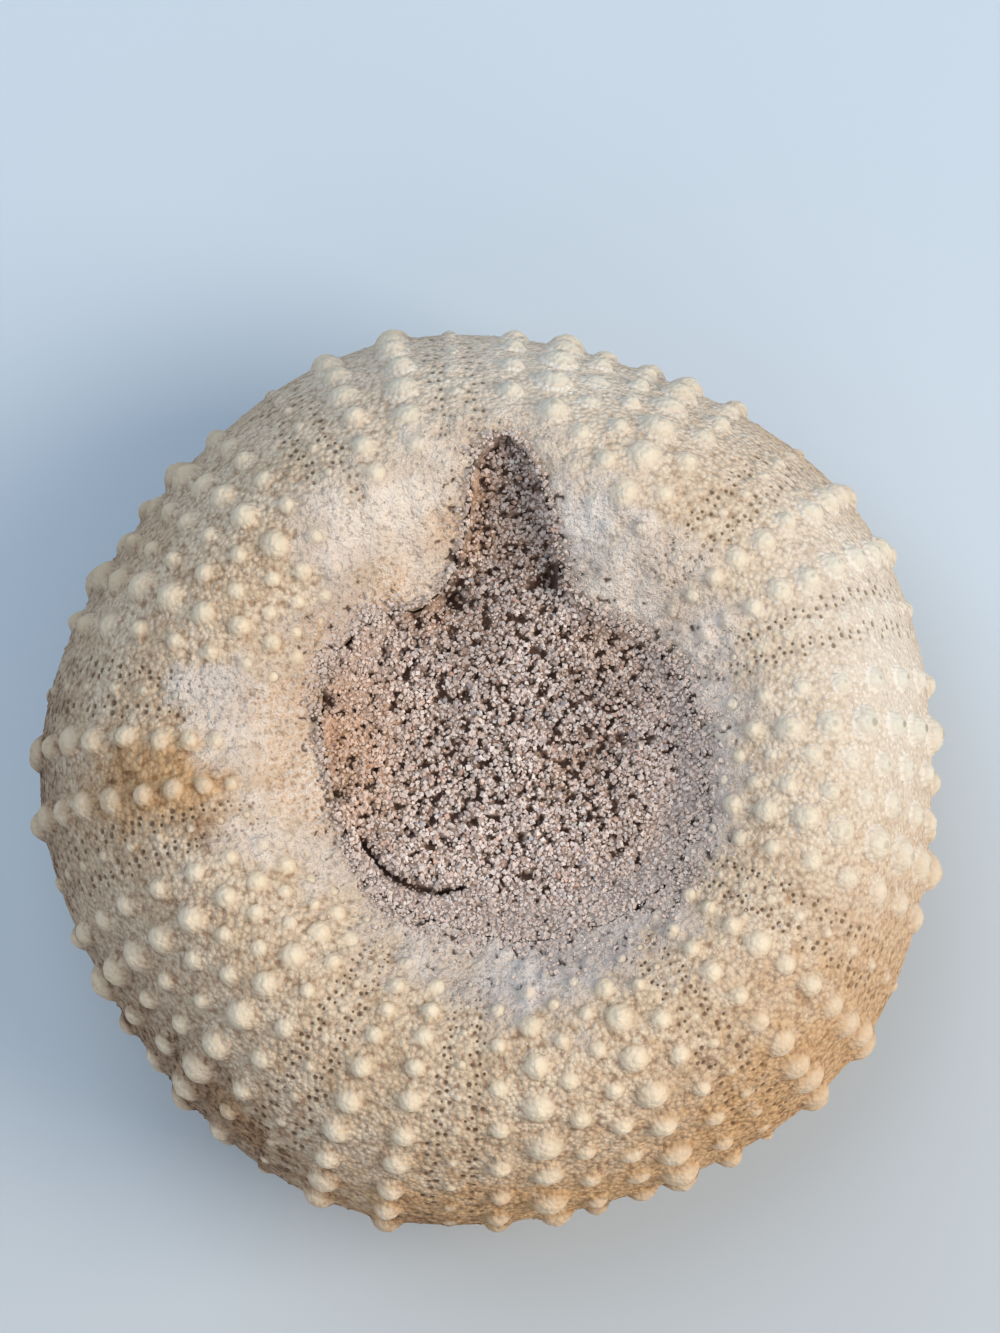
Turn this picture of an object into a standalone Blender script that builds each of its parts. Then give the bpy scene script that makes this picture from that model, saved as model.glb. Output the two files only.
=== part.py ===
"""Fossil sea urchin, lying with its mouth side up.

Two pieces, as on the real thing:

  test       the limestone shell, a flattened globe of plates with a knob (tubercle) on each. It folds
             in to a sunken mouth, and a slot is broken out of the mouth's far edge.
  sand_fill  the cemented sand that packs the shell and shows, rough and sunken, in the mouth.

Both skins are laid out on a flat map of the surface, triangulated there and lifted back into space.
"""

import math

import bmesh
import bpy
import numpy as np
from mathutils import Vector, noise
from mathutils.geometry import delaunay_2d_cdt
from mathutils.kdtree import KDTree

MM = 0.001

# ---- Driving dimensions (metres) ----------------------------------------------------------------
RADIUS = 34.0 * MM  # of the shell at its widest ring, without knobs
HEIGHT = 30.3 * MM  # from the base to the crest round the mouth
WALL = 2.2 * MM  # thickness of the shell
GAP = 0.35 * MM  # kept between the shell and the sand
BASE_RING = (5.5 * MM, 10.5 * MM)  # inner and outer radius of the flat ring that it rests on
APEX_RECESS = 0.5 * MM  # depth of the small hollow inside that ring
RECESS_BEVEL = 1.2 * MM  # width of the slope down into it

# The shell's profile from the base ring out, round and up to the middle of the mouth side, as shares
# of RADIUS and HEIGHT.
PROFILE = (
    (0.309, 0.0), (0.426, 0.012), (0.588, 0.043), (0.765, 0.112), (0.897, 0.211),
    (0.976, 0.350), (1.0, 0.479), (0.991, 0.578), (0.941, 0.726), (0.853, 0.878),
    (0.741, 0.974), (0.632, 1.0), (0.530, 0.970), (0.410, 0.908), (0.235, 0.881), (0.0, 0.875),
)

# The mouth's edge seen from above, anticlockwise from the right, in millimetres. The run near
# y = 23 is the blind end of the broken slot.
MOUTH_MM = (
    (15.2, 1.3), (13.7, 5.8), (11.0, 8.6), (8.2, 10.2), (5.6, 12.6), (4.8, 16.0), (3.9, 19.4),
    (2.9, 22.2), (1.3, 23.4), (-0.5, 22.8), (-1.3, 20.2), (-1.9, 16.4), (-3.0, 13.4),
    (-4.6, 11.6), (-8.0, 10.4), (-11.4, 8.1), (-12.6, 4.4), (-12.3, -0.2), (-11.3, -3.9),
    (-9.9, -7.7), (-7.3, -10.7), (-2.8, -12.7), (2.4, -13.6), (7.3, -12.7), (11.3, -10.7),
    (13.8, -7.3), (15.0, -3.2),
)  # fmt: skip
MOUTH_POINTS = 76  # round the mouth's edge, on both pieces

# The five double rows of narrow plates (ambulacra) and the five of broad plates between them:
# the angle of the middle line, and how far its first row of knobs is moved up, in rows.
NARROW_FIELDS = ((33.1, 0.95), (107.2, 0.30), (181.3, 0.72), (251.3, 0.65), (318.6, 0.60))
BROAD_FIELDS = ((71.0, 0.70), (144.3, 0.47), (216.6, 0.45), (285.5, 0.13), (355.3, 0.07))
NARROW_PITCH = 0.104  # height of a plate, as a share of the radius where it stands
BROAD_PITCH = 0.130
ROWS = range(-16, 10)  # plates down and up from the widest ring

# Columns of knobs on each side of a field's middle line: degrees off it, foot radius and height as
# shares of the radius where they stand, how far up a column is moved in rows, and a foot's corners.
NARROW_COLUMNS = ((4.5, 0.035, 0.027, 0.0, 5),)
BROAD_COLUMNS = (
    (8.6, 0.043, 0.034, 0.0, 6),
    (3.0, 0.027, 0.021, 0.5, 4),
    (15.4, 0.028, 0.022, 0.55, 4),
)
SMALLEST_FOOT = 0.58 * MM  # smaller knobs, towards the middle of the base, are left to the surface
LEAST_HEIGHT = 0.12 * MM  # that a knob shows above the dust
OFF_GROUND = 0.1 * MM  # kept by the worn knobs near the base, where there is room
FLATTEST = 0.05 * MM
FROM_BASE_RING = 1.0 * MM  # kept clear of knobs
FROM_MOUTH = 0.7 * MM

# Hardened dust buries the knobs round the mouth. It ends at this radius: (degrees, millimetres).
DUST_EDGE = (
    (0, 16.5), (25, 17.5), (45, 18.0), (62, 20.5), (78, 24.3), (100, 24.3), (113, 22.0),
    (125, 20.0), (140, 19.5), (155, 17.5), (180, 19.5), (205, 17.0), (225, 16.0), (250, 17.3),
    (290, 17.8), (315, 18.0), (340, 16.5),
)  # fmt: skip
DUST_FADE = (-3.0 * MM, 0.3 * MM)  # from that edge, between which the knobs sink into it

# The shell's slow swell near its crest. The crest's radius and width are shares of RADIUS.
CREST = (0.62, 0.17)
CREST_FADE = 9.0 * MM  # over which the swell sets in above the widest ring
LOBE = 0.3 * MM  # lower over narrow fields, higher over broad ones
BESIDE_SLOT = ((62, 16, 0.9 * MM), (116, 20, 1.0 * MM))  # the angle, half width and height of a rise
VALLEY = (171, 12, 0.9 * MM)  # and of a dip
# Seen from above, the outline stands out over narrow fields and in over broad ones. This sets in
# between two heights and two radii, as shares of HEIGHT and RADIUS.
OUTLINE_LOBE = 0.6 * MM
OUTLINE_SETS_IN = ((0.03, 0.22), (0.70, 0.95))

# The sand's sunken surface, against the shell's.
SUNK = 0.9 * MM
SLOT_STARTS = (13 * MM, 19 * MM)  # y over which it sinks as much again
LEVEL_SIDE = (-35, 0.5 * MM)  # the side, in degrees, where it lies higher, and by how much
LEVEL_REACH = 14 * MM  # the radius at which it lies that much higher
MOUND = ((-6.0 * MM, -6.3 * MM), 3.6 * MM, 0.5 * MM)  # its middle, its width and its height
UNEVEN = (0.30 * MM, 3.0 * MM)  # height and size of its lumps

# How finely the skins are cut up.
CURVE_STEPS = 12  # between each two points of the profile
RING_POINTS = 20  # round each edge of the base ring
HOLLOW_POINTS = 12
SKIN_ROUND = 56  # points in one turn
LINING_ROUND = 21
SAND_STEP = 2.0 * MM
ROW_STEP = 0.87  # between the rows of a staggered grid, as a share of its spacing
ALL_ROWS = (-2.3, 1.4)  # from the middle of the base to the mouth, in shares of the local radius

CALCITE_COLOUR = (0.66, 0.54, 0.38, 1.0)
SAND_COLOUR = (0.36, 0.28, 0.23, 1.0)


# ---- Curves and blends --------------------------------------------------------------------------
def curve_through(points, steps):
    """A smooth (Catmull-Rom) curve through points, with this many steps between each two."""
    points = np.asarray(points, float)
    padded = np.vstack([2 * points[0] - points[1], points, 2 * points[-1] - points[-2]])
    t = np.linspace(0, 1, steps, endpoint=False)[:, None]
    runs = []
    for a, b, c, d in zip(padded, padded[1:], padded[2:], padded[3:]):
        bend = 2 * b + (c - a) * t + (2 * a - 5 * b + 4 * c - d) * t**2
        runs.append((bend + (3 * b - a - 3 * c + d) * t**3) / 2)
    return np.vstack(runs + [points[-1:]])


def ramp(low, high, x):
    """0 below low, 1 above high, and a smooth rise between them."""
    t = np.clip((x - low) / (high - low), 0, 1)
    return t * t * (3 - 2 * t)


def polar(radius, degrees):
    turn = np.radians(degrees)
    return np.stack([radius * np.cos(turn), radius * np.sin(turn)], axis=-1)


def angle_off(degrees, middle):
    """How far one angle lies from another, from -180 to 180."""
    return (degrees - middle + 180) % 360 - 180


# ---- The turned surface and its flat map --------------------------------------------------------
class Meridian:
    """A profile turned about Z. A point on it is (along, degrees): how far along the profile from the
    middle of the base, and which way round.

    map_radius spreads the surface out flat about the base's middle and keeps every angle true, so
    the best triangles on the map are the best on the surface too.
    """

    def __init__(self, profile):
        self.radius, self.height = profile.T
        steps = np.hypot(*np.diff(profile, axis=0).T)
        self.along = np.concatenate([[0], np.cumsum(steps)])
        middle = (self.radius[1:] + self.radius[:-1]) / 2
        growth = np.exp(np.cumsum(steps[1:] / middle[1:]))
        self.map_radius = steps[0] * np.concatenate([[0, 1], growth])
        slope = np.gradient(profile, self.along, axis=0)
        slope /= np.hypot(*slope.T)[:, None]
        self.out_radius, self.out_height = slope[:, 1], -slope[:, 0]
        self.widest = int(np.argmax(self.radius))

    def read(self, values, along):
        return np.interp(along, self.along, values)

    def on_map(self, along, degrees):
        return polar(self.read(self.map_radius, along), degrees)

    def in_space(self, along, degrees, lift=0.0):
        """The point this far out from the surface."""
        radius = self.read(self.radius, along) + lift * self.read(self.out_radius, along)
        height = self.read(self.height, along) + lift * self.read(self.out_height, along)
        flat = polar(radius, degrees)
        return np.concatenate([flat, np.broadcast_to(height, flat.shape[:-1])[..., None]], axis=-1)

    def along_on_base(self, radius):
        return np.interp(radius, self.radius[: self.widest], self.along[: self.widest])

    def along_on_top(self, radius):
        inwards = slice(None, self.widest, -1)
        return np.interp(radius, self.radius[inwards], self.along[inwards])

    def along_at_row(self, rows_up):
        """The place this far up from the widest ring, counted in shares of the local radius."""
        return np.interp(
            self.map_radius[self.widest] * np.exp(rows_up), self.map_radius, self.along
        )

    def inside(self, depth):
        """The same surface set in by depth, with its base closed straight across."""
        base = self.along >= self.along_on_base(BASE_RING[1])
        radius = (self.radius - depth * self.out_radius)[base]
        height = (self.height - depth * self.out_height)[base]
        profile = np.stack([radius, height], axis=1)
        spokes = np.linspace(0, 1, 8, endpoint=False)[:, None]
        return Meridian(np.vstack([spokes * profile[0] + (1 - spokes) * (0, depth), profile]))


def outer_meridian():
    size = np.array([RADIUS, HEIGHT])
    inner, outer = BASE_RING
    hollow = np.linspace((0, APEX_RECESS), (inner - RECESS_BEVEL, APEX_RECESS), 6)
    base = np.linspace((inner, 0), (outer, 0), 5, endpoint=False)
    return Meridian(np.vstack([hollow, base, curve_through(np.array(PROFILE) * size, CURVE_STEPS)]))


OUTER = outer_meridian()


# ---- The mouth, the dust round it and the slow swell of the shell --------------------------------
def mouth_loop(inset=0.0):
    """The mouth's edge as evenly spaced points, drawn in by inset."""
    ring = np.array(MOUTH_MM + MOUTH_MM[:4]) * MM
    path = curve_through(ring, CURVE_STEPS)[CURVE_STEPS : CURVE_STEPS * (len(MOUTH_MM) + 1)]
    closed = np.vstack([path, path[:1]])
    travelled = np.concatenate([[0], np.cumsum(np.hypot(*np.diff(closed, axis=0).T))])
    stops = np.linspace(0, travelled[-1], MOUTH_POINTS, endpoint=False)
    loop = np.stack([np.interp(stops, travelled, closed[:, i]) for i in (0, 1)], axis=1)
    heading = np.roll(loop, -1, axis=0) - np.roll(loop, 1, axis=0)
    heading /= np.hypot(*heading.T)[:, None]
    return loop + inset * np.stack([-heading[:, 1], heading[:, 0]], axis=1)


MOUTH = mouth_loop()
MOUTH_DEGREES = np.degrees(np.arctan2(MOUTH[:, 1], MOUTH[:, 0]))
MOUTH_RADII = np.hypot(*MOUTH.T)


def mouth_radius(degrees):
    order = np.argsort(MOUTH_DEGREES)
    return np.interp(degrees, MOUTH_DEGREES[order], MOUTH_RADII[order], period=360)


def shown(along, degrees):
    """0 where a knob is buried in the dust round the mouth, 1 where it stands clear."""
    edge = np.interp(degrees, *np.array(DUST_EDGE).T, period=360) * MM
    radius = OUTER.read(OUTER.radius, along)
    buried, clear = DUST_FADE
    clear = ramp(edge + buried, edge + clear, radius)
    return np.where(along < OUTER.along[OUTER.widest], 1.0, clear)


def bell(distance):
    return np.exp(-(distance**2))


def swell(along, degrees):
    """How far the shell stands out from the turned form: round its outline and near its crest."""
    radius = OUTER.read(OUTER.radius, along) / RADIUS
    height = OUTER.read(OUTER.height, along) / HEIGHT
    widest = OUTER.along[OUTER.widest]
    middle, width = CREST
    crest = ramp(widest, widest + CREST_FADE, along) * bell((radius - middle) / width)
    rise = LOBE * np.cos(np.radians(5 * degrees))
    for side, half_width, most in BESIDE_SLOT:
        rise = rise + most * bell(angle_off(degrees, side) / half_width)
    side, half_width, depth = VALLEY
    rise = rise - depth * bell(angle_off(degrees, side) / half_width)
    heights, radii = OUTLINE_SETS_IN
    band = ramp(*heights, height) * ramp(*radii, radius)
    lobes = np.cos(np.radians(5 * (degrees - NARROW_FIELDS[0][0])))
    return crest * rise + band * OUTLINE_LOBE * lobes


# ---- Knobs --------------------------------------------------------------------------------------
def columns_of_knobs():
    """(degrees, first row, pitch, foot, height, corners) of each column of knobs."""
    groups = (
        (NARROW_FIELDS, NARROW_PITCH, NARROW_COLUMNS),
        (BROAD_FIELDS, BROAD_PITCH, BROAD_COLUMNS),
    )
    for fields, pitch, columns in groups:
        for middle, first_row in fields:
            for side in (-1, 1):
                for offset, foot, height, shift, corners in columns:
                    row = (first_row + shift + (0.5 if side > 0 else 0.0)) % 1.0
                    yield middle + side * offset, row, pitch, foot, height, corners


def knob(degrees, along, foot, height, corners):
    """The foot's corners and then the tip, as (along, degrees, lift)."""
    radius = OUTER.read(OUTER.radius, along)
    turn = np.arange(corners) * 2 * math.pi / corners
    around = degrees + np.degrees(foot * np.cos(turn) / radius)
    up = along + foot * np.sin(turn)
    tip_lift = height * shown(along, degrees)
    # Near the base the knobs are worn down to the plane that it rests on.
    room = OUTER.read(OUTER.height, along) - OFF_GROUND
    tip_lift = min(tip_lift, max(room, FLATTEST))
    lifts = np.append(np.zeros(corners), tip_lift)
    return np.stack([np.append(up, along), np.append(around, degrees), lifts], axis=1)


def fits(points):
    """Whether a knob keeps clear of the mouth's edge and of the base ring, and isn't buried."""
    along, degrees, lift = points.T
    radius = OUTER.read(OUTER.radius, along)
    on_base = along < OUTER.along_on_base(BASE_RING[1] + FROM_BASE_RING)
    on_top = along > OUTER.along[OUTER.widest]
    in_mouth = on_top & (radius < mouth_radius(degrees) + FROM_MOUTH)
    return not on_base.any() and not in_mouth.any() and lift[-1] > LEAST_HEIGHT


def all_knobs():
    found = []
    for degrees, row, pitch, foot, height, corners in columns_of_knobs():
        for step in ROWS:
            along = OUTER.along_at_row((row + step) * pitch)
            radius = OUTER.read(OUTER.radius, along)
            points = knob(degrees, along, foot * radius, height * radius, corners)
            if foot * radius > SMALLEST_FOOT and fits(points):
                found.append(points)
    return found


# ---- Skins --------------------------------------------------------------------------------------
def triangles(flat, loops):
    """Triangles between flat points, inside the outermost of these loops of point numbers."""
    edges = [pair for loop in loops for pair in zip(loop, loop[1:] + loop[:1])]
    points = [Vector(point) for point in flat / np.abs(flat).max()]
    _, _, faces, sources, _, _ = delaunay_2d_cdt(points, edges, [], 1, 1e-7)
    return [[sources[corner][0] for corner in face] for face in faces]


def spread(meridian, spacing, keep_off):
    """Staggered points this far apart, as a share of the local radius, that keep clear of others."""
    others = KDTree(len(keep_off))
    for number, point in enumerate(keep_off):
        others.insert((*point, 0), number)
    others.balance()
    found = []
    for number, row in enumerate(np.arange(*ALL_ROWS, spacing * ROW_STEP)):
        along = meridian.along_at_row(row)
        clearance = 0.6 * spacing * meridian.read(meridian.map_radius, along)
        shift = (number % 2) * np.degrees(spacing) / 2
        for degrees in np.arange(0, 359, np.degrees(spacing)) + shift:
            if others.find((*meridian.on_map(along, degrees), 0))[2] > clearance:
                found.append((along, degrees))
    return np.array(found)


def ring_on(meridian, along, count):
    return np.stack([np.full(count, along), np.arange(count) * 360 / count], axis=1)


def loop_on(meridian, loop):
    """The mouth's edge as (along, degrees) on this surface."""
    degrees = np.degrees(np.arctan2(loop[:, 1], loop[:, 0]))
    return np.stack([meridian.along_on_top(np.hypot(*loop.T)), degrees], axis=1)


def outer_skin():
    """The knobbly outside: its points in space and its triangles. The mouth's edge comes first."""
    rings = [ring_on(OUTER, OUTER.along_on_base(radius), RING_POINTS) for radius in BASE_RING]
    hollow = ring_on(OUTER, OUTER.along_on_base(BASE_RING[0] - RECESS_BEVEL), HOLLOW_POINTS)
    fixed = np.vstack([loop_on(OUTER, MOUTH), *rings, hollow, [[0.0, 0.0]]])
    placed = np.vstack([np.column_stack([fixed, np.zeros(len(fixed))]), *all_knobs()])
    filler = spread(OUTER, 2 * math.pi / SKIN_ROUND, OUTER.on_map(*placed.T[:2]))
    off_ring = filler[:, 0] > OUTER.along_on_base(BASE_RING[1] + 0.8 * FROM_BASE_RING)
    off_mouth = OUTER.read(OUTER.radius, filler[:, 0]) > mouth_radius(filler[:, 1]) + FROM_MOUTH
    off_mouth |= filler[:, 0] < OUTER.along[OUTER.widest]
    filler = filler[off_ring & off_mouth]
    placed = np.vstack([placed, np.column_stack([filler, np.zeros(len(filler))])])
    along, degrees, lift = placed.T
    starts = (0, MOUTH_POINTS, MOUTH_POINTS + RING_POINTS, MOUTH_POINTS + 2 * RING_POINTS)
    loops = [list(range(first, end)) for first, end in zip(starts, starts[1:])]
    faces = triangles(OUTER.on_map(along, degrees), loops)
    return OUTER.in_space(along, degrees, lift + swell(along, degrees)), faces


def lining(gap):
    """The shell's smooth inside or, a gap away from it all over, the outside of the packed sand.

    Both take the same triangles, so they stay parallel. The mouth's edge comes first.
    """
    surface = OUTER.inside(WALL)
    edge = loop_on(surface, MOUTH)
    filler = spread(surface, 2 * math.pi / LINING_ROUND, surface.on_map(*edge.T))
    radius = surface.read(surface.radius, filler[:, 0])
    below = filler[:, 0] < surface.along[surface.widest]
    filler = filler[below | (radius > mouth_radius(filler[:, 1]) + 2 * FROM_MOUTH)]
    placed = np.vstack([edge, filler, [[0.0, 0.0]]])
    faces = triangles(surface.on_map(*placed.T), [list(range(MOUTH_POINTS))])
    placed[:MOUTH_POINTS] = loop_on(surface, mouth_loop(gap))
    return surface.in_space(*placed.T, lift=-gap), faces


# ---- The sand's free surface --------------------------------------------------------------------
def sand_height(x, y):
    """The sunken sand: level with the shell at the right and near side, a step down elsewhere."""
    radius = math.hypot(x, y)
    degrees = math.degrees(math.atan2(y, x))
    shell = OUTER.read(OUTER.height, OUTER.along_on_top(radius))
    side, rise = LEVEL_SIDE
    level = rise * math.cos(math.radians(degrees - side)) * min(radius / LEVEL_REACH, 1)
    (x0, y0), width, height = MOUND
    mound = height * bell(math.hypot(x - x0, y - y0) / width)
    depth, size = UNEVEN
    lumps = depth * noise.noise(Vector((x, y, 0.0)) / size)
    return shell + level + mound + lumps - SUNK * (1 + ramp(*SLOT_STARTS, y))


def sand_top(inset):
    """The free surface of the sand. The mouth's edge, drawn in by inset, comes first."""
    edge = mouth_loop(inset)
    reach = MOUTH_RADII.max()
    inner = []
    for row, y in enumerate(np.arange(-reach, reach, SAND_STEP * ROW_STEP)):
        for x in np.arange(-reach, reach, SAND_STEP) + (row % 2) * SAND_STEP / 2:
            room = mouth_radius(math.degrees(math.atan2(y, x))) - math.hypot(x, y)
            if room > 0 and np.hypot(*(edge - (x, y)).T).min() > SAND_STEP / 2:
                inner.append((x, y))
    flat = np.vstack([edge, inner])
    heights = [sand_height(x, y) for x, y in flat]
    return np.column_stack([flat, heights]), triangles(flat, [list(range(MOUTH_POINTS))])


# ---- Objects ------------------------------------------------------------------------------------
def material(name, colour, roughness):
    made = bpy.data.materials.new(name)
    made.use_nodes = True
    shader = made.node_tree.nodes["Principled BSDF"]
    shader.inputs["Base Color"].default_value = colour
    shader.inputs["Roughness"].default_value = roughness
    shader.inputs["Metallic"].default_value = 0.0
    return made


def closed_object(name, first_skin, second_skin, finish):
    """One body from two skins, joined by a wall between the loops of points that they start with."""
    points, faces = first_skin
    more_points, more_faces = second_skin
    start = len(points)
    bm = bmesh.new()
    corners = [bm.verts.new(point) for point in np.vstack([points, more_points])]
    for face in faces:
        bm.faces.new([corners[i] for i in face])
    for face in more_faces:
        bm.faces.new([corners[start + i] for i in face])
    for a in range(MOUTH_POINTS):
        b = (a + 1) % MOUTH_POINTS
        bm.faces.new([corners[a], corners[b], corners[start + b], corners[start + a]])
    bmesh.ops.recalc_face_normals(bm, faces=bm.faces)
    mesh = bpy.data.meshes.new(name)
    bm.to_mesh(mesh)
    bm.free()
    mesh.materials.append(finish)
    made = bpy.data.objects.new(name, mesh)
    bpy.context.scene.collection.objects.link(made)
    return made


def clear_scene():
    for old in list(bpy.data.objects):
        bpy.data.objects.remove(old, do_unlink=True)


def main():
    clear_scene()
    calcite = material("calcite_test", CALCITE_COLOUR, 0.8)
    sandstone = material("sandstone_fill", SAND_COLOUR, 0.95)
    closed_object("test", outer_skin(), lining(0.0), calcite)
    closed_object("sand_fill", sand_top(GAP), lining(GAP), sandstone)


main()
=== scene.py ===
# %% [markdown]
# # A fossil sea urchin, mouth side up
# A sea urchin's shell (its test) is a flattened globe of small limestone plates. Each plate carries a
# knob on which a spine once turned. This one filled up with sand, which set hard and still shows in
# the open mouth. The lesson builds the shell and the sand around a solid model that is loaded first,
# because that solid fixes where everything is and how big it is.

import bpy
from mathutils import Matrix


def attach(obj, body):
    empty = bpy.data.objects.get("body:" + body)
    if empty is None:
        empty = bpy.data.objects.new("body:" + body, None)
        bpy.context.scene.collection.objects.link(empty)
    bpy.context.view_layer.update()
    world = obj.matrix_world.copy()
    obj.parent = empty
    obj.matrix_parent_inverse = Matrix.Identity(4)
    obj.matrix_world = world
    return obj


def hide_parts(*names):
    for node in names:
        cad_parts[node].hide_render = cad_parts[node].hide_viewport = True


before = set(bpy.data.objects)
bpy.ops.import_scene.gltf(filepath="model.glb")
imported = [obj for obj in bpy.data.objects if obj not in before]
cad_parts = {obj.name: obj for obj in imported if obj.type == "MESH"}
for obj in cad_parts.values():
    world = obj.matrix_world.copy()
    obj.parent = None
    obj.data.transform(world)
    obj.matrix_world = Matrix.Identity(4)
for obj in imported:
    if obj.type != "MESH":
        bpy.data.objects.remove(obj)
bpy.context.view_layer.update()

# %% Blender's modules, and units
import math
from collections import namedtuple

import bmesh
import bpy
import numpy as np
from mathutils import Vector, noise
from mathutils.geometry import delaunay_2d_cdt
from mathutils.kdtree import KDTree

MM = 0.001
draw = np.random.default_rng(5)

# %% [markdown]
# ## The form of the shell
# A shell that grew round an axis is nearly a turned form, so one profile describes it. It runs from
# the middle of the base, round the widest ring and up to the sunken middle of the mouth side. Its
# points are shares of the radius and height, so the two numbers at the top scale the whole curve.

# %% The profile and its sizes
RADIUS = 34.0 * MM
HEIGHT = 30.3 * MM
WALL = 2.2 * MM
GAP = 0.35 * MM  # between the shell and the packed sand
BASE_RING = (5.5 * MM, 10.5 * MM)  # inner and outer radius of the flat ring that the shell lies on
APEX_RECESS = 0.5 * MM  # depth of the hollow inside that ring
RECESS_BEVEL = 1.2 * MM  # width of the hollow's sloping side
CURVE_STEPS = 24  # between each two points of the profile
HOLLOW_POINTS = 6
RING_POINTS = 5
INNER_BASE_POINTS = 8  # from the axis to the rim of the base, inside the shell
PROFILE = (
    (0.309, 0.0), (0.426, 0.012), (0.588, 0.043), (0.765, 0.112), (0.897, 0.211),
    (0.976, 0.350), (1.0, 0.479), (0.991, 0.578), (0.941, 0.726), (0.853, 0.878),
    (0.741, 0.974), (0.632, 1.0), (0.530, 0.970), (0.410, 0.908), (0.235, 0.881), (0.0, 0.875),
)


def curve_through(points, steps):
    """A smooth (Catmull-Rom) curve through points, with this many steps between each two."""
    points = np.asarray(points, float)
    padded = np.vstack([2 * points[0] - points[1], points, 2 * points[-1] - points[-2]])
    t = np.linspace(0, 1, steps, endpoint=False)[:, None]
    runs = []
    for a, b, c, d in zip(padded, padded[1:], padded[2:], padded[3:]):
        bend = 2 * b + (c - a) * t + (2 * a - 5 * b + 4 * c - d) * t**2
        runs.append((bend + (3 * b - a - 3 * c + d) * t**3) / 2)
    return np.vstack(runs + [points[-1:]])


def ramp(low, high, x):
    """0 below low, 1 above high, and a smooth rise between them."""
    t = np.clip((x - low) / (high - low), 0, 1)
    return t * t * (3 - 2 * t)


def bell(distance):
    """1 at no distance, falling smoothly to nearly 0 at twice the unit."""
    return np.exp(-(np.asarray(distance) ** 2))


def polar(radius, degrees):
    """The flat point at a radius and a direction."""
    turn = np.radians(degrees)
    return np.stack([radius * np.cos(turn), radius * np.sin(turn)], axis=-1)


def degrees_of(flat):
    """The direction of each flat point from the axis."""
    return np.degrees(np.arctan2(flat[:, 1], flat[:, 0]))


def angle_off(degrees, middle):
    """How far one angle lies from another, from -180 to 180."""
    return (degrees - middle + 180) % 360 - 180


print("profile's points:", len(PROFILE))

# %% [markdown]
# ## A flat map of the surface
# Knobs, pores and grains are easiest to lay out on a flat sheet. This map spreads the turned surface
# out round the middle of its base and keeps every angle true, so a round knob stays round and the
# best triangles on the map are the best on the shell too. A place is (along, degrees): how far along
# the profile, and which way round.


# %% The turned surface
class Meridian:
    """A profile turned round the axis, with its flat map."""

    def __init__(self, profile):
        self.radius, self.height = profile.T
        steps = np.hypot(*np.diff(profile, axis=0).T)
        self.along = np.concatenate([[0], np.cumsum(steps)])
        middle = (self.radius[1:] + self.radius[:-1]) / 2
        growth = np.exp(np.cumsum(steps[1:] / middle[1:]))
        self.map_radius = steps[0] * np.concatenate([[0, 1], growth])
        slope = np.gradient(profile, self.along, axis=0)
        slope /= np.hypot(*slope.T)[:, None]
        self.out_radius, self.out_height = slope[:, 1], -slope[:, 0]
        self.widest = int(np.argmax(self.radius))

    def read(self, values, along):
        """One of this surface's lists, such as its radius, at a place along the profile."""
        return np.interp(along, self.along, values)

    def on_map(self, along, degrees):
        return polar(self.read(self.map_radius, along), degrees)

    def in_space(self, along, degrees, lift=0.0):
        """The point this far out from the surface."""
        radius = self.read(self.radius, along) + lift * self.read(self.out_radius, along)
        height = self.read(self.height, along) + lift * self.read(self.out_height, along)
        flat = polar(radius, degrees)
        return np.concatenate([flat, np.broadcast_to(height, flat.shape[:-1])[..., None]], axis=-1)

    def along_on_base(self, radius):
        return np.interp(radius, self.radius[: self.widest], self.along[: self.widest])

    def along_on_top(self, radius):
        inwards = slice(None, self.widest, -1)
        return np.interp(radius, self.radius[inwards], self.along[inwards])

    def along_at_row(self, rows_up):
        """The place this far up from the widest ring, counted in shares of the local radius."""
        return np.interp(
            self.map_radius[self.widest] * np.exp(rows_up), self.map_radius, self.along
        )

    def inside(self, depth):
        """The same surface set in by depth, with its base closed straight across."""
        base = self.along >= self.along_on_base(BASE_RING[1])
        radius = (self.radius - depth * self.out_radius)[base]
        height = (self.height - depth * self.out_height)[base]
        profile = np.stack([radius, height], axis=1)
        spokes = np.linspace(0, 1, INNER_BASE_POINTS, endpoint=False)[:, None]
        return Meridian(np.vstack([spokes * profile[0] + (1 - spokes) * (0, depth), profile]))


def outer_meridian():
    inner, outer = BASE_RING
    hollow = np.linspace((0, APEX_RECESS), (inner - RECESS_BEVEL, APEX_RECESS), HOLLOW_POINTS)
    base = np.linspace((inner, 0), (outer, 0), RING_POINTS, endpoint=False)
    sides = curve_through(np.array(PROFILE) * (RADIUS, HEIGHT), CURVE_STEPS)
    return Meridian(np.vstack([hollow, base, sides]))


OUTER = outer_meridian()
WIDEST = OUTER.along[OUTER.widest]
print("profile length, mm:", round(OUTER.along[-1] / MM, 1))

# %% [markdown]
# ## The mouth's edge
# The mouth broke open along a ragged line, with a slot running out of its far edge. A handful of
# points, taken round by a smooth curve, gives the outline. Noise added at right angles to it makes
# the break look crumbled, which no smooth curve would.

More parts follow.
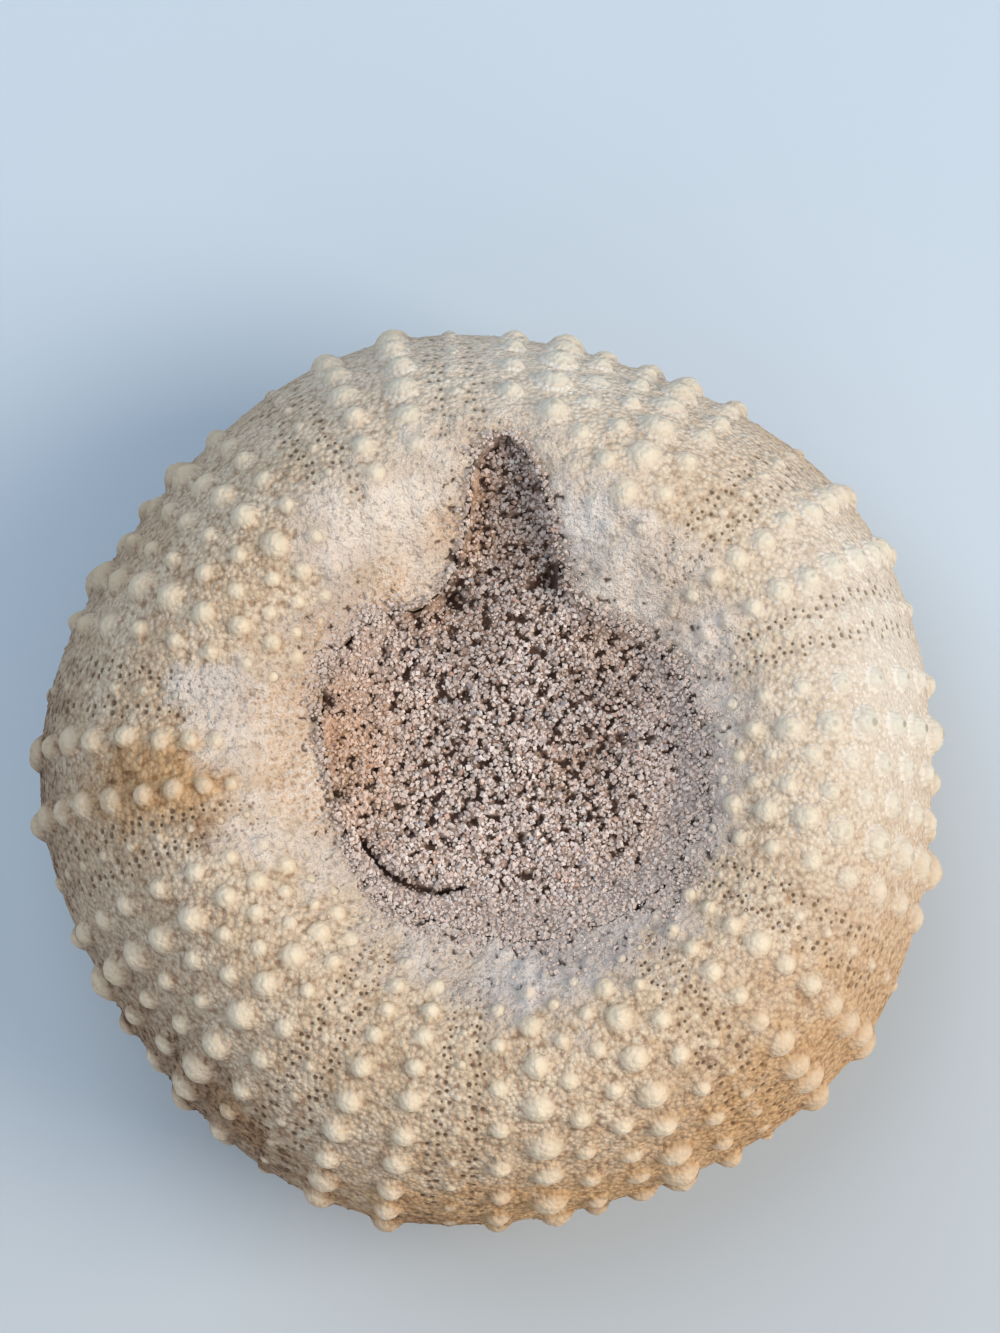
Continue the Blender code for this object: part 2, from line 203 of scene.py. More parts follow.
# %% The mouth's edge
MOUTH_POINTS = 400
MOUTH_STEPS = 16  # of the curve, between each two of the points below
CRUMB = 1.6 * MM  # size of the noise that crumbles the edge
MOUTH_MM = (
    (15.2, 1.3), (13.7, 5.8), (11.0, 8.6), (8.2, 10.2), (5.6, 12.6), (4.8, 16.0), (3.9, 19.4),
    (2.9, 22.2), (1.3, 23.4), (-0.5, 22.8), (-1.3, 20.2), (-1.9, 16.4), (-3.0, 13.4),
    (-4.6, 11.6), (-8.0, 10.4), (-11.4, 8.1), (-12.6, 4.4), (-12.3, -0.2), (-11.3, -3.9),
    (-9.9, -7.7), (-7.3, -10.7), (-2.8, -12.7), (2.4, -13.6), (7.3, -12.7), (11.3, -10.7),
    (13.8, -7.3), (15.0, -3.2),
)  # fmt: skip


def mouth_loop(count, inset=0.0, ragged=0.0):
    """The mouth's edge as evenly spaced points, drawn in by inset and roughened."""
    ring = np.array(MOUTH_MM + MOUTH_MM[:4]) * MM  # runs on past its start, so the curve closes smoothly
    path = curve_through(ring, MOUTH_STEPS)[MOUTH_STEPS : MOUTH_STEPS * (len(MOUTH_MM) + 1)]
    closed = np.vstack([path, path[:1]])
    travelled = np.concatenate([[0], np.cumsum(np.hypot(*np.diff(closed, axis=0).T))])
    stops = np.linspace(0, travelled[-1], count, endpoint=False)
    loop = np.stack([np.interp(stops, travelled, closed[:, i]) for i in (0, 1)], axis=1)
    heading = np.roll(loop, -1, axis=0) - np.roll(loop, 1, axis=0)
    heading /= np.hypot(*heading.T)[:, None]
    crumbled = [noise.fractal(Vector((x, y, 0)) / CRUMB, 1.0, 2.0, 3) for x, y in loop]
    inset = inset + ragged * np.array(crumbled)[:, None]
    return loop + inset * np.stack([-heading[:, 1], heading[:, 0]], axis=1)


def near_tree(points):
    """A search tree of flat or solid points."""
    tree = KDTree(len(points))
    for number, point in enumerate(points):
        tree.insert((*point, 0.0)[:3], number)
    tree.balance()
    return tree


def distance_to(tree, points):
    """Distance of each flat or solid point from the nearest one in a search tree."""
    return np.array([tree.find((*point, 0.0)[:3])[2] for point in points])


MOUTH = mouth_loop(MOUTH_POINTS)
MOUTH_TREE = near_tree(MOUTH)
MOUTH_DEGREES = degrees_of(MOUTH)
MOUTH_ORDER = np.argsort(MOUTH_DEGREES)


def mouth_radius(degrees):
    """How far the mouth's edge lies from the axis in a direction."""
    radii = np.hypot(*MOUTH[MOUTH_ORDER].T)
    return np.interp(degrees, MOUTH_DEGREES[MOUTH_ORDER], radii, period=360)


def in_mouth(flat):
    return np.hypot(*flat.T) < mouth_radius(degrees_of(flat))


def to_mouth(flat):
    """Distance of each flat point from the mouth's edge."""
    return distance_to(MOUTH_TREE, flat)


print("mouth edge points:", len(MOUTH))

# %% [markdown]
# ## Dust and swell
# Limy dust hardened round the mouth and buried the knobs there, further out at the back than at the
# front. The shell also rises and falls a little. Its crest is low over the five narrow fields of
# plates and high on either side of the slot, and its outline bulges at each narrow field. Dust and
# swell are functions of the place on the surface, so any later step can ask for them.

# %% The dust and the swell
# The dust's edge: degrees, and millimetres from the axis.
DUST_EDGE = (
    (0, 16.5), (25, 17.5), (45, 18.0), (62, 20.5), (78, 24.3), (100, 24.3), (113, 22.0),
    (125, 19.2), (140, 17.6), (155, 17.0), (180, 19.5), (205, 17.0), (225, 16.0), (250, 17.3),
    (290, 17.8), (315, 18.0), (340, 16.5),
)  # fmt: skip
DUST_FADE = (3.0 * MM, 0.3 * MM)  # how far before that edge the dust starts to thin, and ends past it
# Each field's middle in degrees, and where its first row of plates lies, as a share of a row.
NARROW_FIELDS = ((33.1, 0.95), (107.2, 0.30), (181.3, 0.72), (251.3, 0.65), (318.6, 0.60))
BROAD_FIELDS = ((71.0, 0.70), (144.3, 0.47), (216.6, 0.45), (285.5, 0.13), (355.3, 0.07))
FIELDS = len(NARROW_FIELDS)
CREST = (0.62, 0.17)  # where the crest's rise and fall is strongest, and its width, in radii
CREST_CLIMB = 9 * MM  # above the widest ring, over which it sets in
LOBE = 0.3 * MM
# Swellings beside the slot, and a dip at the left: degrees, width in degrees, height.
CREST_SWELLS = ((62, 16, 0.9 * MM), (116, 20, 1.0 * MM), (171, 12, -0.9 * MM))
OUTLINE_LOBE = 0.6 * MM
OUTLINE_SETS_IN = ((0.03, 0.22), (0.70, 0.95))  # shares of the height and of the radius


def dust_edge(degrees):
    return np.interp(degrees, *np.array(DUST_EDGE).T, period=360) * MM


def buried(along, degrees):
    """1 where the dust hides a knob, 0 where it stands clear."""
    edge = dust_edge(degrees)
    before, past = DUST_FADE
    covered = 1 - ramp(edge - before, edge + past, OUTER.read(OUTER.radius, along))
    return np.where(np.asarray(along) < WIDEST, 0.0, covered)


def swell(along, degrees):
    """How far the shell stands out from the turned form."""
    radius = OUTER.read(OUTER.radius, along) / RADIUS
    height = OUTER.read(OUTER.height, along) / HEIGHT
    strongest, spread = CREST
    crest = ramp(WIDEST, WIDEST + CREST_CLIMB, along) * bell((radius - strongest) / spread)
    rise = LOBE * np.cos(np.radians(FIELDS * degrees))
    for middle, width, most in CREST_SWELLS:
        rise = rise + most * bell(angle_off(degrees, middle) / width)
    heights, radii = OUTLINE_SETS_IN
    band = ramp(*heights, height) * ramp(*radii, radius)
    lobes = np.cos(np.radians(FIELDS * (degrees - NARROW_FIELDS[0][0])))
    return crest * rise + band * OUTLINE_LOBE * lobes


print("dust reaches, mm from the axis:", [reach for _, reach in DUST_EDGE])

# %% [markdown]
# ## Where the knobs stand
# The plates lie in ten double rows: five narrow fields with pores for the tube feet, and five broad
# fields between them. Rows of plates shrink towards the base and the mouth in step with the local
# radius, so a knob's size and spacing are shares of it. The two halves of a field lie half a row
# apart, like a zip. No two knobs are quite alike, so each is moved and resized a little at random.

# %% Columns of knobs
NARROW_PITCH = 0.104  # from one row of plates to the next, as a share of the local radius
BROAD_PITCH = 0.130
ROWS = range(-22, 11)  # counted up from the widest ring

# A knob's outline from its foot to its tip: share of the foot's radius, points round, share of height.
BIG_KNOB = (
    (1.0, 14, 0.0), (0.92, 14, 0.12), (0.82, 13, 0.32), (0.69, 12, 0.54), (0.54, 10, 0.73),
    (0.40, 8, 0.84), (0.27, 7, 0.89), (0.20, 6, 0.99), (0.0, 1, 1.03),
)  # fmt: skip
MIDDLE_KNOB = (
    (1.0, 12, 0.0), (0.91, 12, 0.15), (0.77, 11, 0.42), (0.60, 9, 0.70), (0.36, 7, 0.92), (0.0, 1, 1.02),
)  # fmt: skip
SMALL_KNOB = ((1.0, 10, 0.0), (0.86, 9, 0.24), (0.60, 8, 0.70), (0.28, 5, 0.96), (0.0, 1, 1.03))
TINY_KNOB = ((1.0, 7, 0.0), (0.68, 6, 0.62), (0.0, 1, 1.0))
GRANULE = ((1.0, 6, 0.0), (0.0, 1, 1.0))

# Columns on each side of a field's middle: degrees off it, foot and height as shares of the local
# radius, how far up the column is moved in rows, and the outline.
NARROW_COLUMNS = ((4.5, 0.041, 0.029, 0.0, MIDDLE_KNOB), (12.3, 0.018, 0.013, 0.35, TINY_KNOB))
BROAD_COLUMNS = (
    (8.6, 0.051, 0.035, 0.0, BIG_KNOB),
    (3.0, 0.035, 0.024, 0.5, SMALL_KNOB),
    (15.4, 0.036, 0.025, 0.55, SMALL_KNOB),
)
SMALLEST_FOOT = 0.26 * MM
KNOB_MARGIN = 0.5 * MM  # kept free between a knob's foot and the mouth's edge
MOST_BURIED = 0.97
PLAINER_BELOW = 14 * MM  # this far under the widest ring, knobs are made of fewer points
UNEVEN = 0.08  # how much knobs differ in size, and stray from their place, as a share of the foot
UNEVEN_HEIGHT = 1.5  # times as much in height

Knob = namedtuple("Knob", "along degrees foot height outline")


def columns_of_knobs():
    """(degrees, first row, pitch, foot, height, outline) of each column of knobs."""
    groups = (
        (NARROW_FIELDS, NARROW_PITCH, NARROW_COLUMNS),
        (BROAD_FIELDS, BROAD_PITCH, BROAD_COLUMNS),
    )
    for fields, pitch, columns in groups:
        for middle, first_row in fields:
            for side in (-1, 1):
                for offset, foot, height, shift, outline in columns:
                    row = (first_row + shift + (0.5 if side > 0 else 0.0)) % 1.0
                    yield middle + side * offset, row, pitch, foot, height, outline


def past_mouth(thing, margin):
    """Whether a thing's middle lies outside the mouth's edge by a margin."""
    return OUTER.read(OUTER.radius, thing.along) > mouth_radius(thing.degrees) + margin


def stands_free(knob):
    """Whether a knob keeps clear of the mouth's edge and the base ring, and isn't wholly buried."""
    if knob.foot < SMALLEST_FOOT:
        return False
    if knob.along < WIDEST:
        return OUTER.read(OUTER.radius, knob.along) > BASE_RING[1] + knob.foot
    clear = past_mouth(knob, knob.foot + KNOB_MARGIN)
    return clear and buried(knob.along, knob.degrees) < MOST_BURIED


def all_knobs():
    found = []
    for degrees, row, pitch, foot, height, outline in columns_of_knobs():
        for step in ROWS:
            along = float(OUTER.along_at_row((row + step) * pitch))
            radius = OUTER.read(OUTER.radius, along)
            bigger, taller, up, across = draw.normal(0, UNEVEN, 4)
            foot_here = foot * radius * (1 + bigger)
            knob = Knob(
                along + up * foot_here,
                degrees + math.degrees(across * foot),
                foot_here,
                height * radius * (1 + UNEVEN_HEIGHT * taller),
                outline if along > WIDEST - PLAINER_BELOW else outline[::2] + outline[-1:],
            )
            if stands_free(knob):
                found.append(knob)
    return found


KNOBS = all_knobs()
print("knobs:", len(KNOBS))

# %% [markdown]
# ## Free places
# Pores and granules fill what the knobs leave free. A crowd remembers each round thing that is
# already on the surface. It answers whether a new one of some size would touch another, with a
# search tree, because testing every pair would take minutes.


# %% The crowd of things on the surface
class Crowd:
    """Round things on the surface, which newcomers keep clear of."""

    def __init__(self):
        self.places = []
        self.sizes = []

    def add(self, thing):
        self.places.append(OUTER.in_space(thing.along, thing.degrees))
        self.sizes.append(thing.foot)

    def settle(self):
        """Makes what was added count from here on."""
        self.tree = near_tree(self.places)
        self.widest = max(self.sizes)

    def has_room(self, thing, margin=0.0):
        place = OUTER.in_space(thing.along, thing.degrees)
        reach = thing.foot + margin
        near = self.tree.find_range(place, reach + self.widest)
        return all(distance > reach + self.sizes[number] for _, number, distance in near)


crowd = Crowd()
for knob in KNOBS:
    crowd.add(knob)
crowd.settle()
print("things in the crowd:", len(crowd.sizes))

# %% [markdown]
# ## Pores
# Each narrow plate is pierced by pairs of pores in a slanting arc: three pairs near the big knob and
# three further out, with a tiny knob between. A pore is a small cone sunk in the mesh. Real dimples
# keep their shape in raking light, where a bump map alone would not.

# %% Lay out the pores
# Places of the six pairs: degrees off the field's middle, and how far up the plate.
PORE_PAIRS = ((9.0, 0.82), (9.6, 0.50), (10.3, 0.17), (14.3, 0.72), (14.9, 0.40), (15.6, 0.07))
PAIR_GAP = 0.74 * MM
PORE = 0.0088  # radius of a pore's rim as a share of the local radius
PORE_RIM = ((1.0, 6, 0.0), (0.0, 1, 1.0))
PORE_DEPTH = 0.30 * MM
PORE_SPREAD = 0.2  # how much pores differ in size
PORE_DEPTHS = (0.6, 1.2)  # least and most, as a share of that depth
PORE_STRAY = 0.11 * MM
PORE_MARGIN = 1.2 * MM  # kept free at the mouth's edge
PORE_ROOM = 0.03 * MM  # kept free of other things
PORES_DOWN_TO = 17 * MM  # under the widest ring
MOST_DUST_ON_PORES = 0.25


def pores():
    for middle, first_row in NARROW_FIELDS:
        for side in (-1, 1):
            row = first_row + (0.5 if side > 0 else 0.0)
            for step in ROWS:
                for offset, up in PORE_PAIRS:
                    along = float(OUTER.along_at_row((row + step + up) * NARROW_PITCH))
                    radius = float(OUTER.read(OUTER.radius, along))
                    for end in (-0.5, 0.5):
                        stray = draw.normal(0, PORE_STRAY, 2)
                        pair = math.degrees((end * PAIR_GAP + stray[0]) / RADIUS)
                        size = PORE * radius * (1 + draw.normal(0, PORE_SPREAD))
                        yield Knob(
                            along + stray[1],
                            middle + side * (offset + pair),
                            size,
                            -PORE_DEPTH * draw.uniform(*PORE_DEPTHS),
                            PORE_RIM,
                        )


def open_pores():
    found = []
    for pore in pores():
        shown = pore.along > WIDEST - PORES_DOWN_TO and past_mouth(pore, PORE_MARGIN)
        clean = buried(pore.along, pore.degrees) < MOST_DUST_ON_PORES
        if shown and clean and crowd.has_room(pore, PORE_ROOM):
            found.append(pore)
    return found


PORES = open_pores()
for pore in PORES:
    crowd.add(pore)
crowd.settle()
print("pores:", len(PORES))

# %% [markdown]
# ## Granules
# The rest of each plate is covered with granules that carried the smallest spines. They stand in a
# ring round each big knob, and elsewhere in a staggered grid with every one nudged from its place.

# %% Lay out the granules
GRANULE_STEP = 0.0225  # spacing as a share of the local radius
GRANULE_FOOT = (0.14 * MM, 0.27 * MM)
GRANULE_HEIGHT = 0.55  # as a share of its foot
GRANULE_HEIGHTS = (0.6, 1.3)  # least and most, as a share of that height
GRANULE_NUDGE = 0.3  # as a share of the spacing
GRANULE_MARGIN = 1.0 * MM  # kept free at the mouth's edge
GRANULE_BAND = (-0.36, 1.2)  # first and last row, in shares of the local radius from the widest ring
MOST_DUST_ON_GRANULES = 0.5
RING_GAP = 0.34 * MM  # from a big knob's foot to the ring of granules round it
RING_STEP = 0.62 * MM  # between granules in that ring
RING_CHANCE = 0.8
SCATTER_CHANCE = 0.42
ROW_STEP = 0.87  # between rows of a staggered grid, as a share of the step along a row


def staggered(first, last, step):
    """The rows of a staggered grid: where each lies, and 1 for every second one, which is moved on."""
    for number, row in enumerate(np.arange(first, last, step * ROW_STEP)):
        yield row, number % 2


def directions(step):
    """Degrees all the way round, this far apart in radians, that stop short of the first again."""
    return np.arange(0, 359, math.degrees(step))


def granule(along, degrees):
    foot = draw.uniform(*GRANULE_FOOT)
    height = foot * GRANULE_HEIGHT * draw.uniform(*GRANULE_HEIGHTS)
    return Knob(along, degrees, foot, height, GRANULE)


def ringed(knob):
    """Granules in a ring round a knob."""
    reach = knob.foot + RING_GAP
    count = int(2 * math.pi * reach / RING_STEP)
    radius = OUTER.read(OUTER.radius, knob.along)
    for number in range(count):
        turn = 2 * math.pi * (number + draw.uniform(-0.15, 0.15)) / count
        up, across = reach * math.sin(turn), reach * math.cos(turn)
        yield granule(knob.along + up, knob.degrees + math.degrees(across / radius))


def scattered():
    """Granules in a staggered grid over the upper part of the shell."""
    for row, odd in staggered(*GRANULE_BAND, GRANULE_STEP):
        along = float(OUTER.along_at_row(row))
        for degrees in directions(GRANULE_STEP):
            nudge = draw.uniform(-GRANULE_NUDGE, GRANULE_NUDGE, 2) + (odd / 2, 0)
            yield granule(
                along + nudge[1] * GRANULE_STEP * float(OUTER.read(OUTER.radius, along)),
                degrees + nudge[0] * math.degrees(GRANULE_STEP),
            )


def keep_granules(candidates, chance):
    kept = []
    for thing in candidates:
        outside = thing.along <= WIDEST or past_mouth(thing, GRANULE_MARGIN)
        clean = buried(thing.along, thing.degrees) < MOST_DUST_ON_GRANULES
        if draw.random() < chance and outside and clean and crowd.has_room(thing):
            kept.append(thing)
            crowd.add(thing)
    crowd.settle()
    return kept


ringed_knobs = [knob for knob in KNOBS if knob.outline is BIG_KNOB]
GRANULES = keep_granules([g for knob in ringed_knobs for g in ringed(knob)], RING_CHANCE)
GRANULES += keep_granules(scattered(), SCATTER_CHANCE)
print("granules:", len(GRANULES))

# %% [markdown]
# ## From things to points
# Every knob, pore and granule becomes rings of points round its own middle, each with a height above
# the surface. Dust round the mouth buries knobs from the foot up. The smooth maximum of two heights
# gives the soft line where a knob's tip comes out of the dust. Each point also keeps how far it is
# a knob's top and how deep it lies in a pore, for the colours later.

# %% Points of a knob
# A point is a row: along, degrees, lift, knob (0 to 1), pore (0 to 1).
DUST_DEPTH = 0.86  # of the dust where it is thickest, as a share of the knob that it hides
SOFT_LINE = 0.12 * MM
GRANULE_PALE = 0.28  # how far a granule's tip takes the rubbed colour of a knob's


def smooth_max(a, b, softness):
    """The larger of two numbers, without a kink where they are equal."""
    return (a + b + np.sqrt((a - b) ** 2 + softness**2)) / 2


def points_of(thing):
    """The rings of a knob, pore or granule, one row a point."""
    radius = OUTER.read(OUTER.radius, thing.along)
    rows = []
    for number, (share, count, height) in enumerate(thing.outline):
        turn = (np.arange(count) + 0.5 * (number % 2)) * 2 * math.pi / count
        reach = thing.foot * share
        up = thing.along + reach * np.sin(turn)
        around = thing.degrees + np.degrees(reach * np.cos(turn) / radius)
        rows.append(np.stack([up, around, np.full(count, height)], axis=1))
    rows = np.vstack(rows)
    share = rows[:, 2]
    lift = thing.height * share
    is_pore = float(thing.height < 0)
    if not is_pore:
        depth = DUST_DEPTH * thing.height * buried(thing.along, thing.degrees)
        lift = smooth_max(lift, depth, SOFT_LINE) - smooth_max(0, depth, SOFT_LINE)
    pale = GRANULE_PALE if thing.outline is GRANULE else 1 - is_pore
    clear = np.clip(lift / thing.height, 0, 1)
    return np.column_stack([rows[:, :2], lift, clear * pale, share * is_pore])


things = KNOBS + PORES + GRANULES
THING_POINTS = np.vstack([points_of(thing) for thing in things])
print("points of knobs, pores and granules:", len(THING_POINTS))

# %% [markdown]
# ## Filling in between
# The plain ground between the things needs points too: close together in the dust round the mouth,
# which gets its relief from noise, wider on the plates, and widest under the shell.

# %% Filler points
PLATE_STEP = 0.026  # this and the next as a share of the local radius
UNDER_STEP = 0.055
DUST_STEP = 0.34 * MM
LIP_STEP = 0.23 * MM  # near the mouth's edge, where the dust is pitted
LIP_WIDTH = 2.4 * MM
APEX_STEP = 0.34 * MM
PLATE_BAND = (-0.6, 1.3)  # first and last row, in shares of the local radius from the widest ring
UNDER_BAND = (-1.75, -0.6)
DUST_GRID = 27 * MM  # how far the grid of dust points reaches from the axis
DUST_NUDGE = 0.12  # as a share of the step
LEAST_DUST = 0.25
FAR = 1.0  # further than anything here
EDGE_POINTS = 300
BASE_POINTS = 60


def plain(along, degrees):
    """Points on the bare surface."""
    along, degrees = np.broadcast_arrays(along, degrees)
    return np.column_stack([along, degrees, np.zeros((len(along), 3))])


def staggered_rows(first, last, step):
    """Points in staggered rows round the shell."""
    rows = []
    for row, odd in staggered(first, last, step):
        around = directions(step) + odd * math.degrees(step) / 2
        rows.append(plain(OUTER.along_at_row(row), around))
    return np.vstack(rows)


def staggered_grid(reach, step):
    """A staggered flat grid over a square that reaches this far from the axis."""
    rows = []
    for y, odd in staggered(-reach, reach, step):
        x = np.arange(-reach, reach, step) + odd * step / 2
        rows.append(np.stack([x, np.full(len(x), y)], axis=1))
    return np.vstack(rows)


def outside_mouth(flat, margin):
    return ~in_mouth(flat) & (to_mouth(flat) > margin)


def dust_points(step, nearest, furthest):
    """Points in the dust between two distances from the mouth's edge."""
    flat = staggered_grid(DUST_GRID, step)
    flat = flat + draw.normal(0, DUST_NUDGE * step, flat.shape)
    flat = flat[outside_mouth(flat, nearest)]
    flat = flat[to_mouth(flat) < furthest]
    degrees = degrees_of(flat)
    along = OUTER.along_on_top(np.hypot(*flat.T))
    dusty = buried(along, degrees) > LEAST_DUST
    return plain(along[dusty], degrees[dusty])


def apex_points():
    """Close points in the hollow under the shell, where the middle plates meet."""
    flat = staggered_grid(BASE_RING[0], APEX_STEP)
    flat = flat[np.hypot(*flat.T) < BASE_RING[0] - 0.3 * MM]
    return plain(OUTER.along_on_base(np.hypot(*flat.T)), degrees_of(flat))


def plate_points():
    plates = staggered_rows(*PLATE_BAND, PLATE_STEP)
    flat = polar(OUTER.read(OUTER.radius, plates[:, 0]), plates[:, 1])
    return plates[(plates[:, 0] <= WIDEST) | outside_mouth(flat, 0.5 * MM)]


def under_points():
    under = staggered_rows(*UNDER_BAND, UNDER_STEP)
    return under[under[:, 0] > OUTER.along_on_base(BASE_RING[1] + 0.4 * MM)]


def ring_at(radius):
    """A ring of points on the base."""
    around = np.arange(BASE_POINTS) * 360 / BASE_POINTS
    return plain(np.full(BASE_POINTS, OUTER.along_on_base(radius)), around)


def filled_in(placed, candidates, room):
    """The placed points, and after them the candidates that have this much room."""
    tree = near_tree(OUTER.in_space(*placed[:, :2].T))
    clear = distance_to(tree, OUTER.in_space(*candidates[:, :2].T)) > room
    return np.vstack([placed, candidates[clear]])


def loop_on(meridian, loop):
    """The mouth's edge as (along, degrees) on a surface."""
    return np.stack([meridian.along_on_top(np.hypot(*loop.T)), degrees_of(loop)], axis=1)


EDGE_RAGGED = 0.35 * MM
EDGE = mouth_loop(EDGE_POINTS, ragged=EDGE_RAGGED)
EDGE_TREE = near_tree(EDGE)


def skin_points():
    """Every point of the outer skin. The mouth's edge comes first, as later steps count on."""
    edge = plain(*loop_on(OUTER, EDGE).T)
    rings = np.vstack([ring_at(radius) for radius in BASE_RING])
    placed = np.vstack([edge, rings, THING_POINTS])
    placed = filled_in(placed, apex_points(), 0.2 * MM)
    placed = filled_in(placed, dust_points(LIP_STEP, 0.6 * LIP_STEP, LIP_WIDTH), 0.7 * LIP_STEP)
    placed = filled_in(placed, dust_points(DUST_STEP, LIP_WIDTH, FAR), 0.8 * DUST_STEP)
    placed = filled_in(placed, plate_points(), 0.42 * MM)
    return filled_in(placed, under_points(), 0.5 * MM)


SKIN = skin_points()
print("points of the outer skin:", len(SKIN))

# %% [markdown]
# ## Small holes, and a powdery border
# Rain washed the finest dust out of the sand, and left it full of small holes, which the finishes
# paint dark as the shade in them. They run on into the dust that lies flush with the sand, at the
# right and the near side, and die out there. The dust itself thins out without a line, so its border
# is wide and broken by noise.

# %% Holes, powder, and how flush the sand lies
HOLE_SIZE = 0.84 * MM
HOLE_RANGE = (-0.06, -0.40)  # of the noise: where a hole begins, and where it is at its deepest
FEWER_HOLES_OUT = (0.10, 0.5)  # how far closed at the mouth's edge, and how much more further out
FLUSH_SIDES = ((-55, 85, 1.0), (145, 20, 0.8))  # degrees, width and how nearly sand and shell are level
HOLES_OUT = (2.2 * MM, 4.6 * MM)  # how far holes run into the dust, where it steps and where flush
POWDER_FADE = (-4.2 * MM, 3.4 * MM)  # from the dust's edge, between which its colour thins out
POWDER_LUMPS = (2.4 * MM, 0.45)  # size and strength of the noise that breaks its border
CHALK_REACH = 3.6 * MM  # how far it dusts the sand where the two lie flush
# Places where it lies further out: x, y and width in millimetres, and how much thicker.
POWDER_MM = (
    (-22.5, 4.6, 3.0, 0.8), (-19.0, 4.2, 3.2, 0.5), (-20.0, -6.5, 3.0, 0.5), (-13.0, 19.0, 5.0, 0.5),
    (15.0, 1.5, 4.0, 0.8), (14.5, -5.5, 3.5, 0.6), (14.5, 8.0, 4.0, 0.6), (9.0, -14.0, 3.5, 0.4),
    (2.0, -17.5, 4.0, 0.5), (12.5, 14.5, 4.0, 0.5),
)  # fmt: skip
STREAKS = (18 * MM, 0.30, 1.0 * MM, 0.14 * MM)  # where they are this fine, how drawn out, size, height


def lumps(points, size, octaves=3, fade=0.8):
    """Noise from about -1 to 1, with lumps of this size. A lower fade leaves more fine ones in it."""
    return np.array([noise.fractal(Vector(p) / size, fade, 2.1, octaves) for p in points])


def flush(degrees):
    """1 where sand and shell are level at the mouth's edge, 0 where the shell stands above."""
    sides = [most * bell(angle_off(degrees, middle) / wide) for middle, wide, most in FLUSH_SIDES]
    return np.max(sides, axis=0)


def by_side(pair, flat):
    """The first of a pair where the shell stands above the sand, the second where they are level."""
    stepped, level = pair
    return stepped + (level - stepped) * flush(degrees_of(flat))


def patch(flat, x, y, width):
    """1 at a place given in millimetres, fading out round it."""
    return bell(np.hypot(*(flat - (x * MM, y * MM)).T) / (width * MM))


def patchy(flat, table):
    """The sum of a table's soft round patches at flat points, up to 1."""
    total = np.zeros(len(flat))
    for x, y, width, strength in table:
        total += strength * patch(flat, x, y, width)
    return np.clip(total, 0, 1)


def holes(flat, fewer=0.0):
    """1 in a hole, 0 on the ground between. Fewer, from 0 to 1, closes them."""
    net = lumps(np.column_stack([flat, np.zeros(len(flat))]), HOLE_SIZE, 4, 0.35)
    return ramp(*HOLE_RANGE, net + fewer)


def chalky(flat):
    """From 1 outside the mouth down to 0 some way into its sand, or at once where the edge steps."""
    sand = flush(degrees_of(flat)) * bell(to_mouth(flat) / CHALK_REACH)
    return np.where(in_mouth(flat), sand, 1.0)


def holes_in_dust(flat, room):
    """Holes in the dust at a distance from the mouth's edge."""
    at_edge, further = FEWER_HOLES_OUT
    return holes(flat, at_edge + further * room / by_side(HOLES_OUT, flat))


def powder(along, degrees, places):
    """How thickly dust lies, from 0 to 1."""
    thick, thin = POWDER_FADE
    size, strength = POWDER_LUMPS
    outside = dust_edge(degrees) + thin - OUTER.read(OUTER.radius, along)
    cover = outside / (thin - thick) + strength * lumps(places, size)
    cover = cover + patchy(places[:, :2], POWDER_MM)
    return np.where(along < WIDEST, 0.0, np.clip(cover, 0, 1))


print("share of holes:", round(float((holes(staggered_grid(10 * MM, 0.3 * MM)) > 0.5).mean()), 2))

# %% [markdown]
# ## Relief
# Fine relief lies over the form. Plates have a worn, slightly pitted ground. Dust is lumpy, and holed
# near the sand. The edge of the mouth crumbles inwards where it stands above the sand. The top of the
# living animal lies underneath, in the hollow. Real urchins have a ring of ten plates there, five
# large and five small. Grooves mark only the five large ones here, with a pore in each.

# %% Fine relief
PLATE_ROUGH = (0.035 * MM, 0.8 * MM)  # height, and size of the lumps
DUST_ROUGH = (0.19 * MM, 0.9 * MM)
DUST_WAVE = (0.24 * MM, 2.6 * MM)
HOLE_IN_DUST = 0.30 * MM
HOLED_FROM = (0.2, 0.7)  # how thickly dust must lie to have holes
SMOOTH_PORES = 0.6  # how much of the relief is missing in a pore
EDGE_DROP = 0.55 * MM
EDGE_REACH = 0.9 * MM
APEX_GROOVE = 0.14 * MM
# The ring of plates in the hollow, in millimetres. Radius and width of its round grooves and its
# pores, width of its straight grooves and the radii over which these begin and end.
APEX_RINGS = ((1.8, 0.2), (4.4, 0.25))
APEX_PORES = (3.4, 0.25)
APEX_SPOKE = 0.22
APEX_SPOKE_ENDS = ((1.7, 2.1), (4.6, 4.2))
APEX_PORE_DEEPER = 1.6  # times the depth of a groove
APEX_DOME = (0.6, 0.9)  # the middle: height in depths of a groove, and its radius in millimetres


def apex_relief(places):
    """The ring of plates in the hollow under the shell, as grooves between them and a pore in each."""
    radius, degrees = np.hypot(places[:, 0], places[:, 1]) / MM, degrees_of(places)
    aside = np.abs(angle_off(degrees * FIELDS, 180)) / FIELDS * np.pi / 180 * radius
    begin, end = APEX_SPOKE_ENDS
    spokes = bell(aside / APEX_SPOKE) * ramp(*begin, radius) * ramp(*end, radius)
    rings = sum(bell((radius - at) / width) for at, width in APEX_RINGS)
    at, width = APEX_PORES
    across = np.radians(angle_off(degrees * FIELDS, 0) / FIELDS) * at
    pores_here = bell(np.hypot(radius - at, across) / width)
    dome, reach = APEX_DOME
    middle = dome * bell(radius / reach)
    return (-spokes - rings - APEX_PORE_DEEPER * pores_here + middle) * APEX_GROOVE


